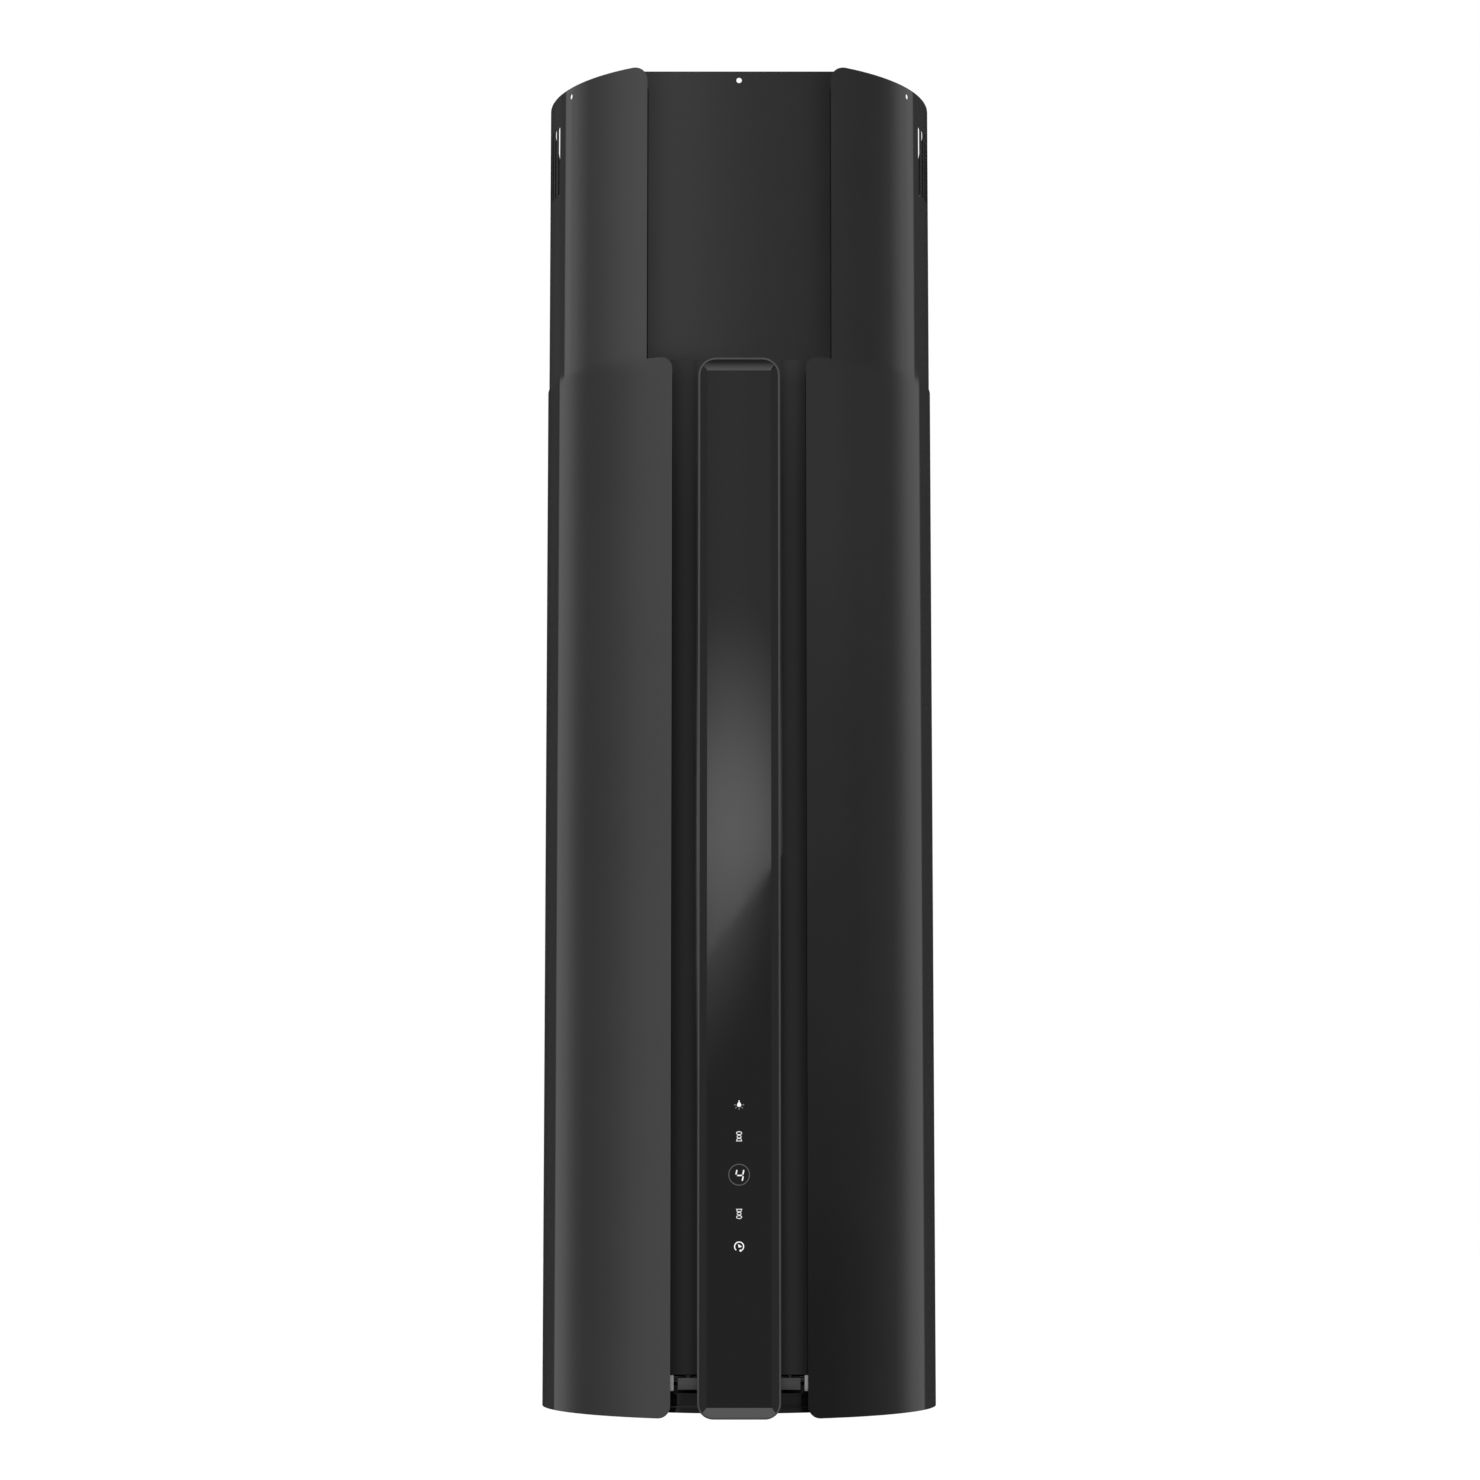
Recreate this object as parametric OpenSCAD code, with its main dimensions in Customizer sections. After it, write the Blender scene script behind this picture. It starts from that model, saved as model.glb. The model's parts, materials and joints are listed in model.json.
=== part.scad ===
// Wall-hung kitchen hood: a round-fronted body with a glass control bar in a
// recessed channel, a telescopic chimney, a centrifugal blower with non-return
// flaps, a drop-down grease filter and two lamps.
// Frame: origin at the centre of the wall bolts on the wall, +Z up, front at -Y.
// Modules work in body coordinates: y = 0 on the axis of the round front,
// z = 0 on the bottom rim. hang() moves them to the wall frame.

/* [Body shell] */
// Outer radius of the round front, half the width of the body
body_r = 195; // [185:1:240]
// Straight run of the sides from the centre of the round front to the wall
side_run = 195; // [185:1:260]
// Height of the body from its bottom rim to its top edge
body_h = 1017.4; // [960:0.1:1300]
// Thickness of the painted steel sheet
sheet = 0.8; // [0.6:0.1:1.2]
// Clear width between the two front wings
wing_gap = 129.8; // [124:0.1:160]
// Rounding of the free corners of the wings
wing_corner_r = 12; // [4:1:16]
// Depth of the front channel behind the foremost point of the body
channel_depth = 28.7; // [25:0.1:32]
// Width of the web of the front channel
channel_w = 160; // [150:1:176]
// Height of the lower edge of the channel above the rim
channel_lift = 40; // [36:1:60]

/* [Chimney] */
// Height of chimney that stands above the body
chimney_rise = 294.3; // [200:0.1:340]
// Length of chimney that stays inside the body
chimney_overlap = 120; // [100:1:150]
// Sliding clearance between chimney and body
slide_gap = 0.3; // [0.2:0.1:0.6]
// Clear width between the two chimney wings
chimney_gap = 180.2; // [180:0.1:200]
// Rounding of the top corners of the chimney wings
chimney_corner_r = 15; // [4:1:20]
// Depth of the chimney channel behind the foremost point of the chimney
chimney_channel_depth = 43.2; // [38:0.1:50]
// Width of the web of the chimney channel
chimney_channel_w = 210; // [204:1:230]
// Number of vent slots on each side
vent_count = 12; // [4:1:12]
// Width of one vent slot
vent_w = 6; // [4:0.5:7]
// Height of one vent slot
vent_h = 72; // [40:1:100]
// Distance between neighbouring vent slots
vent_pitch = 12.4; // [10:0.1:13]
// Distance from the chimney top down to the slots
vent_drop = 32; // [25:1:60]
// Diameter of the fixing holes below the chimney top
fixing_d = 5.4; // [4:0.1:6]
// Distance from the chimney top down to the fixing holes
fixing_drop = 9; // [7:0.5:12]
// Angle of the side fixing holes from the front
fixing_angle = 60.5; // [50:0.5:64]

/* [Control bar] */
// Width of the control bar over its trim
bar_w = 78.6; // [66:0.1:96]
// Height of the control bar from the bottom rim
bar_h = 1013.8; // [950:0.1:1290]
// Rounding of the top corners of the bar
bar_top_r = 17; // [8:1:20]
// Rounding of the bottom corners of the bar
bar_bottom_r = 15; // [8:1:20]
// Visible width of the metal trim round the glass
trim_w = 1.7; // [1:0.1:2.5]
// Thickness of the control glass
glass_t = 5; // [4:0.5:6]
// Depth of the bevel of the glass
bevel_d = 2.2; // [1:0.1:2.5]
// Width of the bevel along the sides of the glass
bevel_side = 7; // [4:0.5:9]
// Width of the bevel at the top of the glass
bevel_top = 11.3; // [4:0.1:13]
// Width of the bevel at the bottom of the glass
bevel_bottom = 9.3; // [4:0.1:13]
// Height of the speed display above the bottom rim
display_z = 226.4; // [180:0.1:400]
// Heights of the four touch keys above and below the display
key_offsets = [66.3, 36.1, -36.8, -67.2];

/* [Bottom cover] */
// Radius of the bottom cover, inside the body with an air gap round it
cover_r = 185; // [180:1:187]
// Thickness of the cover sheet
cover_t = 1.2; // [1:0.1:2]
// Height of the cover wall top above the rim
cover_top = 22; // [18:1:24]
// Height of the cover plate above the rim
plate_z = 7.5; // [6:0.5:10]
// Radius of the rolled bead round the cover
bead_r = 1.3; // [1:0.1:1.8]
// Height of the rolled bead above the rim
bead_z = 11.2; // [10:0.1:14]

/* [Grease filter] */
// Width of the grease filter
filter_w = 230; // [180:1:240]
// Length of the grease filter from front to back
filter_l = 240; // [180:1:245]
// Thickness of the grease filter
filter_t = 10; // [8:1:14]
// Gap between the filter and its opening
filter_gap = 1; // [0.8:0.1:2]
// Distance from the filter opening back to the wall
filter_back = 48; // [44:1:80]

/* [Lamps] */
// Distance between the two lamps
lamp_span = 124; // [110:1:140]
// Distance of the lamps in front of the filter opening
lamp_front = 38; // [30:1:42]
// Radius of the lamp lens
lens_r = 20; // [15:1:22]

/* [Blower] */
// Outer radius of the impeller
impeller_r = 100; // [80:1:110]
// Width of the impeller along its axis
impeller_w = 140; // [110:1:150]
// Number of impeller blades
blade_count = 36; // [24:1:42]
// Closest gap between impeller and scroll
scroll_gap = 12; // [8:1:16]
// Growth of the scroll radius from tongue to outlet
scroll_growth = 53; // [40:1:56]
// Wall thickness of the scroll halves
case_t = 2; // [1.5:0.1:3]
// Height of the blower axis above the rim
blower_z = 275; // [260:1:420]
// Depth of the hanger between back plate and scroll
hanger_d = 46; // [42:1:60]
// Nominal bore of the duct that fits over the outlet collar
duct_d = 150; // [120:1:150]
// Length of the outlet collar
collar_l = 45; // [35:1:60]
// Radius of the motor
motor_r = 44; // [36:1:50]
// Radius of the motor shaft
shaft_r = 4; // [3:0.5:6]
// Running clearance of the shaft in its bearings, on the radius
run_gap = 0.05; // [0.02:0.01:0.1]

/* [Wall fixing] */
// Distance between the left and right wall bolts
bolt_span_x = 240; // [200:1:280]
// Distance between the lower and upper wall bolts
bolt_span_z = 760; // [700:1:780]
// Diameter of the wall bolt holes
bolt_hole_d = 8; // [6:0.5:10]
// Height of the lower wall bolts above the rim
bolt_low_z = 100; // [90:1:110]
// Diameter of the cable bore in the gland
cable_d = 8; // [6:0.5:10]

/* [Hidden] */
$fn = 72;

paint = [0.17, 0.17, 0.17];
gloss = [0.06, 0.06, 0.06];
zinc = [0.72, 0.72, 0.72];
silver = [0.6, 0.6, 0.6];
plastic = [0.12, 0.12, 0.12];
grey_plastic = [0.35, 0.35, 0.36];
eps = 0.01;
over = 1;          // how far a cut runs past the face it opens

// Wall and plate places
wall_y = side_run;
plate_t = 2;
plate_face_y = wall_y - plate_t;
plate_z0 = 60;
plate_top = bolt_low_z + bolt_span_z + 90;
plate_half_w = body_r - sheet - slide_gap;
flange_w = 22;
mount_z = bolt_low_z + bolt_span_z / 2;

// Front channel and control bar places
web_y = -(body_r - channel_depth);
bar_y = -body_r;
trim_front_y = bar_y + bevel_d;
glass_back_y = bar_y + glass_t;
bar_back_y = glass_back_y + 1;
tray_t = 2;
tray_clear = 0.5;
tray_w = bar_w - 2 * trim_w - 2 * tray_clear;
tray_z0 = channel_lift + 4;
tray_z1 = bar_h - bar_top_r - 3;
board_t = 1.6;
board_y = glass_back_y + 3.4;

// Chimney places
chimney_r = body_r - sheet - slide_gap;
chimney_z0 = body_h - chimney_overlap;
chimney_z1 = body_h + chimney_rise;
chimney_h = chimney_z1 - chimney_z0;
chimney_back_y = plate_face_y - 1.5;
chimney_web_y = -(chimney_r - chimney_channel_depth);
bracket_h = 36;
bracket_z = chimney_z1 - 78;
tie_h = 20;

// Bottom cover and filter places
cover_back_y = wall_y - 7;
cover_lip_z = 5;
cover_flange_w = 13;
cover_edge_t = 1.5;
cover_edge = 1.5;
opening_w = filter_w + 2 * filter_gap;
opening_back_y = wall_y - filter_back;
hinge_room = 2.5;
hinge_pin_r = 1.5;
hinge_gap = 3;
hinge_inset = 4.5;
lug_t = 2;
lug_w = 8;
lug_h = 6;
filter_back_y = opening_back_y - hinge_room;
filter_front_y = filter_back_y - filter_l;
opening_front_y = filter_front_y - filter_gap;
plate_top_z = plate_z + cover_edge_t;
hinge_y = filter_back_y - hinge_inset;
hinge_z = plate_top_z + 2;
lamp_y = opening_front_y - lamp_front;
lens_t = 2.5;
bezel_w = 5;
lamp_h = 22;

// Junction box on the back plate
box_w = 160;
box_h = 110;
box_d = 34;
box_t = 2;
box_z = 475;
box_y0 = plate_face_y - box_d;
box_clear = 1;
lid_t = 2;
gland_x = 50;
gland_l = 22;

// Blower places, with its axis along X
scroll_r0 = impeller_r + scroll_gap;
scroll_r1 = scroll_r0 + scroll_growth;
tongue_a = 75;
tongue_y = scroll_r0 * cos(tongue_a);
collar_r = duct_d / 2 - 0.5;
outlet_half_y = (scroll_r1 - tongue_y) / 2;
box_room = box_d + lid_t + box_clear + collar_r - case_t - outlet_half_y;
hanger_reach = max(hanger_d, box_room); // the duct collar passes in front of the junction box
blower_y = plate_face_y - hanger_reach - case_t - scroll_r1;
case_half_w = impeller_w / 2 + 10;
outlet_h = scroll_r1 + 5;
outlet_z = blower_z + outlet_h;
lip_w = 6;
lip_t = 2;
inlet_r = impeller_r - 12;
inlet_lip_r = inlet_r - 8;
ring_flange_w = 12;
side_x = case_half_w + case_t;

// Outlet adapter, collar and flaps
duct_y = blower_y + (tongue_y + scroll_r1) / 2;
adapter_t = 2;
adapter_h = 26;
adapter_half_x = side_x + lip_w;
adapter_half_y = outlet_half_y + case_t + lip_w;
collar_z = outlet_z + adapter_h;
flap_z = collar_z + 12;
flap_t = 1.2;
flap_clear = 1;
flap_r = collar_r - adapter_t - flap_clear;
pin_r = 1.5;
knuckle_r = 3;
knuckle_w = 14;
flap_start = 3.6;
seat_w = 3;
seat_gap = 0.3;

// Motor, inside the left half of the impeller
motor_x0 = -(side_x + 9.5);
motor_x1 = -12;
motor_t = 2;
bearing_r = 11;
bearing_w = 7;
core_r = 20;
core_gap = 0.6;
stator_r = motor_r - motor_t;
core_x0 = motor_x0 + 22;
core_x1 = motor_x1 - 16;
hub_r = 14;
disc_t = 2;
ring_w = 5;
ring_d = 8;
joint_gap = 0.02;
spider_t = 2.5;
grommet_r = 7;
grommet_bore_r = 2.2;
grommet_pcd_r = inlet_r + ring_flange_w + grommet_r + 2;
spider_angles = [120, 240, 360];

// Moves body coordinates to the wall frame
module hang() {
  translate([0, -wall_y, -mount_z]) children();
}

// Puts a module drawn with its axis on Z on the blower axis, pointing along +X
module on_blower(x = 0) {
  translate([x, blower_y, blower_z]) rotate([90, 0, 90]) children();
}

// Plan outline of the body: a half circle in front and straight sides behind
module u_plan(r, back) {
  circle(r, $fn = 180);
  translate([-r, 0]) square([2 * r, back]);
}

// Plan of a sheet bent to the U outline and open at the wall
module u_sheet(r, t, back) {
  difference() {
    u_plan(r, back);
    u_plan(r - t, back + over);
  }
}

// Plan of the right side of that sheet, from its free edge at half_gap to the wall
module wing_plan(r, half_gap, back) {
  intersection() {
    u_sheet(r, sheet, back);
    translate([half_gap, -r - over]) square([r + over - half_gap, r + back + 2 * over]);
  }
}

// Draws a right-hand piece on the right, or its mirror image on the left
module on_side(side) {
  mirror([side < 0 ? 1 : 0, 0, 0]) children();
}

// Cutter that leaves a rounded corner at the origin, with its body at +X +Z
module corner_cutter(r, depth) {
  rotate([90, 0, 0]) linear_extrude(depth) difference() {
    translate([-over, -over]) square([r + over, r + over]);
    translate([r, r]) circle(r);
  }
}

// Cutter for a free corner of a right wing: up is -1 for a top corner
module wing_corner(half_gap, z, r, up) {
  translate([half_gap, -half_gap, z]) mirror([0, 0, up < 0 ? 1 : 0])
    corner_cutter(r, 2 * body_r);
}

// ---- Body shell ----

module shell(side) {
  color(paint) hang() on_side(side) difference() {
    union() {
      linear_extrude(body_h) wing_plan(body_r, wing_gap / 2, wall_y);
      translate([body_r - sheet - flange_w, plate_face_y - sheet, plate_z0])
        cube([flange_w + eps, sheet, plate_top - plate_z0]);
    }
    wing_corner(wing_gap / 2, 0, wing_corner_r, 1);
    wing_corner(wing_gap / 2, body_h, wing_corner_r, -1);
  }
}

module left_shell() { shell(-1); }
module right_shell() { shell(1); }

// Plan of a channel: a web with two flanges that meet the wings from inside
module channel_plan(r, web, w) {
  intersection() {
    circle(r - sheet, $fn = 180);
    union() {
      translate([-w / 2, web]) square([w, sheet]);
      for (side = [-1, 1])
        translate([side * (w / 2 - sheet / 2) - sheet / 2, -r])
          square([sheet, r + web + sheet]);
    }
  }
}

module front_channel() {
  cable_w = 30;
  cable_h = 14;
  color(paint) hang() difference() {
    translate([0, 0, channel_lift]) linear_extrude(body_h - channel_lift)
      channel_plan(body_r, web_y, channel_w);
    translate([-cable_w / 2, web_y - over, display_z])
      cube([cable_w, sheet + 2 * over, cable_h]);
  }
}

module back_plate() {
  window_w = 120;
  window_h = 150;
  window_z = plate_top - window_h - 60;
  color(zinc) hang() difference() {
    translate([-plate_half_w, plate_face_y, plate_z0])
      cube([2 * plate_half_w, plate_t, plate_top - plate_z0]);
    for (x = [-1, 1], z = [0, 1])
      translate([x * bolt_span_x / 2, plate_face_y - over, bolt_low_z + z * bolt_span_z])
        rotate([-90, 0, 0]) cylinder(d = bolt_hole_d, h = plate_t + 2 * over);
    translate([-window_w / 2, plate_face_y - over, window_z])
      cube([window_w, plate_t + 2 * over, window_h]);
  }
}

// ---- Bottom cover and what holds it ----

// Sweeps a section drawn in radius and height round the U, back to y = back
module u_sweep(back) {
  rotate([0, 0, 180]) rotate_extrude(angle = 180, $fn = 180) children();
  for (side = [0, 1]) mirror([side, 0, 0])
    translate([0, back, 0]) rotate([90, 0, 0]) linear_extrude(back) children();
}

module cover_ring(r_out, r_in, z0, z1) {
  translate([0, 0, z0]) linear_extrude(z1 - z0) difference() {
    u_plan(r_out, cover_back_y);
    u_plan(r_in, cover_back_y - (r_out - r_in));
  }
}

module bottom_cover() {
  color(gloss) hang() difference() {
    union() {
      cover_ring(cover_r, cover_r - cover_t, cover_lip_z, cover_top);
      cover_ring(cover_r + cover_edge, cover_r - cover_flange_w, cover_top,
                 cover_top + cover_edge_t);
      translate([0, 0, plate_z]) linear_extrude(cover_edge_t)
        u_plan(cover_r - cover_t / 2, cover_back_y - cover_t / 2);
      u_sweep(cover_back_y) translate([cover_r, bead_z]) circle(bead_r, $fn = 24);
      for (side = [-1, 1])
        translate([side * (filter_w / 2 + hinge_gap + lug_t / 2) - lug_t / 2,
                   hinge_y - lug_w / 2, plate_top_z - eps])
          cube([lug_t, lug_w, lug_h]);
    }
    translate([-opening_w / 2, opening_front_y, plate_z - over])
      cube([opening_w, opening_back_y - opening_front_y, cover_edge_t + 2 * over]);
    for (side = [-1, 1]) {
      translate([side * lamp_span / 2, lamp_y, plate_z - over])
        cylinder(r = lens_r + 2, h = cover_edge_t + 2 * over);
      translate([side * (filter_w / 2 + hinge_gap + lug_t / 2) - lug_t, hinge_y, hinge_z])
        rotate([0, 90, 0]) cylinder(r = hinge_pin_r + 0.2, h = 2 * lug_t);
    }
  }
}

bracket_half_w = 58;
bracket_y = web_y - 2;
bracket_z0 = 26;
bracket_z1 = 37;
bracket_t = 1;
bracket_reach = 20;
leg_x = 28;
leg_w = 12;
screw_x = 48;
screw_y = bracket_y + 4;

module front_bracket() {
  color(silver) hang() {
    translate([-bracket_half_w, bracket_y, bracket_z0])
      cube([2 * bracket_half_w, bracket_t, bracket_z1 - bracket_z0]);
    translate([-bracket_half_w, bracket_y, bracket_z1 - bracket_t])
      cube([2 * bracket_half_w, bracket_reach, bracket_t]);
    for (side = [-1, 1])
      translate([side * leg_x - leg_w / 2, bracket_y, cover_top + cover_edge_t])
        cube([leg_w, bracket_t, bracket_z0 - cover_top - cover_edge_t]);
    translate([-leg_w / 2, bracket_y + bracket_reach - bracket_t, bracket_z1 - bracket_t])
      cube([leg_w, bracket_t, channel_lift + 12 - bracket_z1]);
    translate([-leg_w / 2, web_y + sheet, channel_lift + 2])
      cube([leg_w, bracket_y + bracket_reach - web_y - sheet, bracket_t]);
    translate([-leg_w / 2, web_y + sheet, channel_lift + 2])
      cube([leg_w, bracket_t, 10]);
  }
}

module bracket_screws() {
  head_r = 2.8;
  head_h = 2.4;
  color(plastic) hang() for (side = [-1, 1])
    translate([side * screw_x, screw_y, bracket_z1]) cylinder(r = head_r, h = head_h);
}

module wing_bracket(side) {
  foot_x = 62;
  foot_t = 1.2;
  foot_z0 = 25;
  foot_z1 = channel_lift - 0.4;
  foot_y = web_y - 4;
  x1 = channel_w / 2 - sheet;
  color(zinc) hang() on_side(side) {
    translate([foot_x, foot_y, foot_z0]) cube([x1 - foot_x, foot_t, foot_z1 - foot_z0]);
    translate([foot_x, foot_y, foot_z0]) cube([foot_t, 10, foot_z1 - foot_z0]);
    translate([x1 - foot_t, foot_y, foot_z0]) cube([foot_t, web_y - foot_y, 40]);
  }
}

module cover_brackets() {
  strap_w = 24;
  strap_t = 1.5;
  strap_h = 30;
  strap_y = 70;
  z0 = cover_top + cover_edge_t;
  inner_x = body_r - sheet;
  rear_z1 = plate_z0 + 24;
  color(zinc) hang() {
    for (side = [0, 1]) mirror([side, 0, 0]) {
      translate([cover_r - cover_flange_w + 4, strap_y, z0])
        cube([inner_x - cover_r + cover_flange_w - 4, strap_w, strap_t]);
      translate([inner_x - strap_t, strap_y, z0]) cube([strap_t, strap_w, strap_h]);
    }
    translate([-strap_w / 2, cover_back_y - cover_flange_w + 4, z0])
      cube([strap_w, plate_face_y - cover_back_y + cover_flange_w - 4, strap_t]);
    translate([-strap_w / 2, plate_face_y - strap_t, z0])
      cube([strap_w, strap_t, rear_z1 - z0]);
  }
}

// ---- Control bar ----

// Front view outline of the bar, shrunk by inset on every side
module bar_outline(inset) {
  w = bar_w / 2 - inset;
  rt = bar_top_r - inset;
  rb = bar_bottom_r - inset;
  intersection() {
    translate([-w, inset]) square([2 * w, bar_h - 2 * inset]);
    union() {
      translate([-w, inset + rb]) square([2 * w, bar_h - 2 * inset - rb - rt]);
      translate([-w + rt, inset + rb]) square([2 * w - 2 * rt, bar_h - 2 * inset - rb]);
      translate([-w + rb, inset]) square([2 * w - 2 * rb, bar_h / 2]);
      for (side = [-1, 1]) {
        translate([side * (w - rt), bar_h - inset - rt]) circle(rt);
        translate([side * (w - rb), inset + rb]) circle(rb);
      }
    }
  }
}

// Extrudes a front view outline from y0 in front to y1 behind
module from_front(y0, y1) {
  translate([0, y1, 0]) rotate([90, 0, 0]) linear_extrude(y1 - y0) children();
}

// Wedge that slopes away from a line on the front plane: run across, bevel_d deep
module bevel_cutter(run, length) {
  slope = atan(bevel_d / run);
  translate([-length / 2, 0, 0]) rotate([-slope, 0, 0])
    translate([0, -2 * glass_t, 0]) cube([length, 2 * glass_t, 4 * run]);
}

module control_glass() {
  flat_half = bar_w / 2 - trim_w - bevel_side;
  flat_top = bar_h - trim_w - bevel_top;
  flat_bottom = trim_w + bevel_bottom;
  color(gloss) hang() difference() {
    from_front(bar_y, glass_back_y) bar_outline(trim_w);
    translate([0, bar_y, flat_top]) bevel_cutter(bevel_top, bar_w);
    translate([0, bar_y, flat_bottom]) mirror([0, 0, 1])
      bevel_cutter(bevel_bottom, bar_w);
    for (side = [-1, 1])
      translate([side * flat_half, bar_y, bar_h / 2]) rotate([0, side * 90, 0])
        bevel_cutter(bevel_side, 2 * bar_h);
  }
}

module control_trim() {
  color(silver) hang() from_front(trim_front_y - 0.2, bar_back_y) difference() {
    bar_outline(0);
    bar_outline(trim_w);
  }
}

module control_tray() {
  color(plastic) hang() difference() {
    union() {
      translate([-tray_w / 2, glass_back_y, tray_z0])
        cube([tray_w, web_y - glass_back_y, tray_z1 - tray_z0]);
      from_front(glass_back_y, bar_back_y) bar_outline(trim_w);
    }
    translate([-tray_w / 2 + tray_t, glass_back_y - over, tray_z0 + tray_t])
      cube([tray_w - 2 * tray_t, web_y - glass_back_y + over - tray_t,
            tray_z1 - tray_z0 - 2 * tray_t]);
  }
}

module touch_board() {
  margin = 30;
  board_w = tray_w - 2 * tray_t - 2;
  z0 = display_z + key_offsets[3] - margin;
  z1 = display_z + key_offsets[0] + margin;
  color("darkgreen") hang() {
    translate([-board_w / 2, board_y, z0]) cube([board_w, board_t, z1 - z0]);
    for (x = [-1, 1], z = [z0 + 8, z1 - 8])
      translate([x * (board_w / 2 - 6), board_y + board_t, z]) rotate([-90, 0, 0])
        cylinder(r = 3, h = web_y - tray_t - board_y - board_t);
  }
}

module display_module() {
  display_r = 10.2;
  color(plastic) hang() translate([0, glass_back_y, display_z]) rotate([-90, 0, 0])
    cylinder(r = display_r, h = board_y - glass_back_y);
}

module key_light_guides() {
  guide_r = 5.5;
  color("white") hang() for (dz = key_offsets)
    translate([0, glass_back_y, display_z + dz]) rotate([-90, 0, 0])
      cylinder(r = guide_r, h = board_y - glass_back_y);
}

// ---- Chimney ----

// Stadium cutter for one vent slot, cutting outwards along +X from the origin
module vent_cutter() {
  rotate([90, 0, 90]) linear_extrude(chimney_r) {
    for (y = [vent_w / 2, vent_h - vent_w / 2])
      translate([0, y]) circle(d = vent_w, $fn = 24);
    translate([-vent_w / 2, vent_w / 2]) square([vent_w, vent_h - vent_w]);
  }
}

// Vent slots: those in front of the axis plane stand square to the round front
module vent_slots() {
  slot_z = chimney_z1 - vent_drop - vent_h;
  first = -(vent_count - 1) / 2 * vent_pitch;
  for (i = [0 : vent_count - 1]) {
    run = first + i * vent_pitch;
    if (run < 0)
      rotate([0, 0, run / chimney_r * 180 / PI])
        translate([chimney_r / 2, 0, slot_z]) vent_cutter();
    else
      translate([chimney_r / 2, run, slot_z]) vent_cutter();
  }
}

module chimney_wing(side) {
  color(paint) hang() on_side(side) difference() {
    translate([0, 0, chimney_z0]) linear_extrude(chimney_h)
      wing_plan(chimney_r, chimney_gap / 2, chimney_back_y);
    wing_corner(chimney_gap / 2, chimney_z1, chimney_corner_r, -1);
    vent_slots();
    rotate([0, 0, fixing_angle])
      translate([0, -chimney_r / 2, chimney_z1 - fixing_drop]) rotate([90, 0, 0])
        cylinder(d = fixing_d, h = chimney_r, $fn = 32);
  }
}

module chimney_left() { chimney_wing(-1); }
module chimney_right() { chimney_wing(1); }

module chimney_channel() {
  color(paint) hang() difference() {
    translate([0, 0, chimney_z0]) linear_extrude(chimney_h)
      channel_plan(chimney_r, chimney_web_y, chimney_channel_w);
    translate([0, chimney_web_y - over, chimney_z1 - fixing_drop]) rotate([-90, 0, 0])
      cylinder(d = fixing_d, h = sheet + 2 * over, $fn = 32);
  }
}

module chimney_wall_bracket() {
  ear_l = 40;
  ear_t = 1.5;
  half_w = chimney_r - sheet;
  hole_x = 150;
  hole_d = 6;
  color(zinc) hang() difference() {
    union() {
      translate([-half_w, plate_face_y, bracket_z]) cube([2 * half_w, plate_t, bracket_h]);
      for (side = [-1, 1])
        translate([side > 0 ? half_w - ear_t : -half_w, wall_y - ear_l, bracket_z])
          cube([ear_t, ear_l, bracket_h]);
    }
    for (side = [-1, 1])
      translate([side * hole_x, plate_face_y - over, bracket_z + bracket_h / 2])
        rotate([-90, 0, 0]) cylinder(d = hole_d, h = plate_t + 2 * over);
  }
}

module chimney_tie() {
  tie_t = 1.5;
  tab_l = 16;
  half_w = chimney_r - sheet;
  color(zinc) hang() {
    translate([-half_w, chimney_back_y - tie_t, chimney_z0])
      cube([2 * half_w, tie_t, tie_h]);
    for (side = [-1, 1])
      translate([side > 0 ? half_w - tie_t : -half_w, chimney_back_y - tab_l, chimney_z0])
        cube([tie_t, tab_l, tie_h]);
  }
}

// ---- Blower ----

// Radius of the scroll at angle a, which grows evenly from the tongue to the outlet
function scroll_r(a) = scroll_r0 + scroll_growth * (a - tongue_a) / (360 - tongue_a);

// Side view outline of the scroll, grown outwards by e, in Y and Z from its axis
module scroll_outline(e, top = 0) {
  step = 7.5;
  polygon(concat(
    [[tongue_y - e, outlet_h + top], [tongue_y - e, scroll_r0 + e / 2]],
    [for (a = [tongue_a + 15 : step : 360]) (scroll_r(a) + e) * [cos(a), sin(a)]],
    [[scroll_r1 + e, outlet_h + top]]
  ));
}

module scroll_half(side) {
  depth = side_x;
  color(plastic) hang() translate([0, blower_y, blower_z])
    on_side(side) rotate([90, 0, 90]) {
      difference() {
        linear_extrude(depth) scroll_outline(case_t);
        translate([0, 0, -over]) linear_extrude(case_half_w + over)
          scroll_outline(0, over);
        cylinder(r = inlet_r, h = depth + over);
      }
      linear_extrude(lip_t) intersection() {
        difference() {
          scroll_outline(case_t + lip_w);
          scroll_outline(case_t / 2, over);
        }
        translate([-2 * scroll_r1, -2 * scroll_r1])
          square([3 * scroll_r1 + case_t, 4 * scroll_r1]);
      }
    }
}

module scroll_left() { scroll_half(-1); }
module scroll_right() { scroll_half(1); }

// Screws through the seam lip, outside the scroll wall
module scroll_screws() {
  screw_r = 1.6;
  head_r = 2.8;
  head_h = 2;
  seam_angles = [120, 165, 210, 255, 300, 345];
  color(zinc) hang() on_blower() for (a = seam_angles) {
    r = scroll_r(a) + case_t + lip_w / 2;
    translate([r * cos(a), r * sin(a), lip_t]) cylinder(r = head_r, h = head_h);
    translate([r * cos(a), r * sin(a), -lip_t - head_h])
      cylinder(r = screw_r, h = head_h);
  }
}

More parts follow.
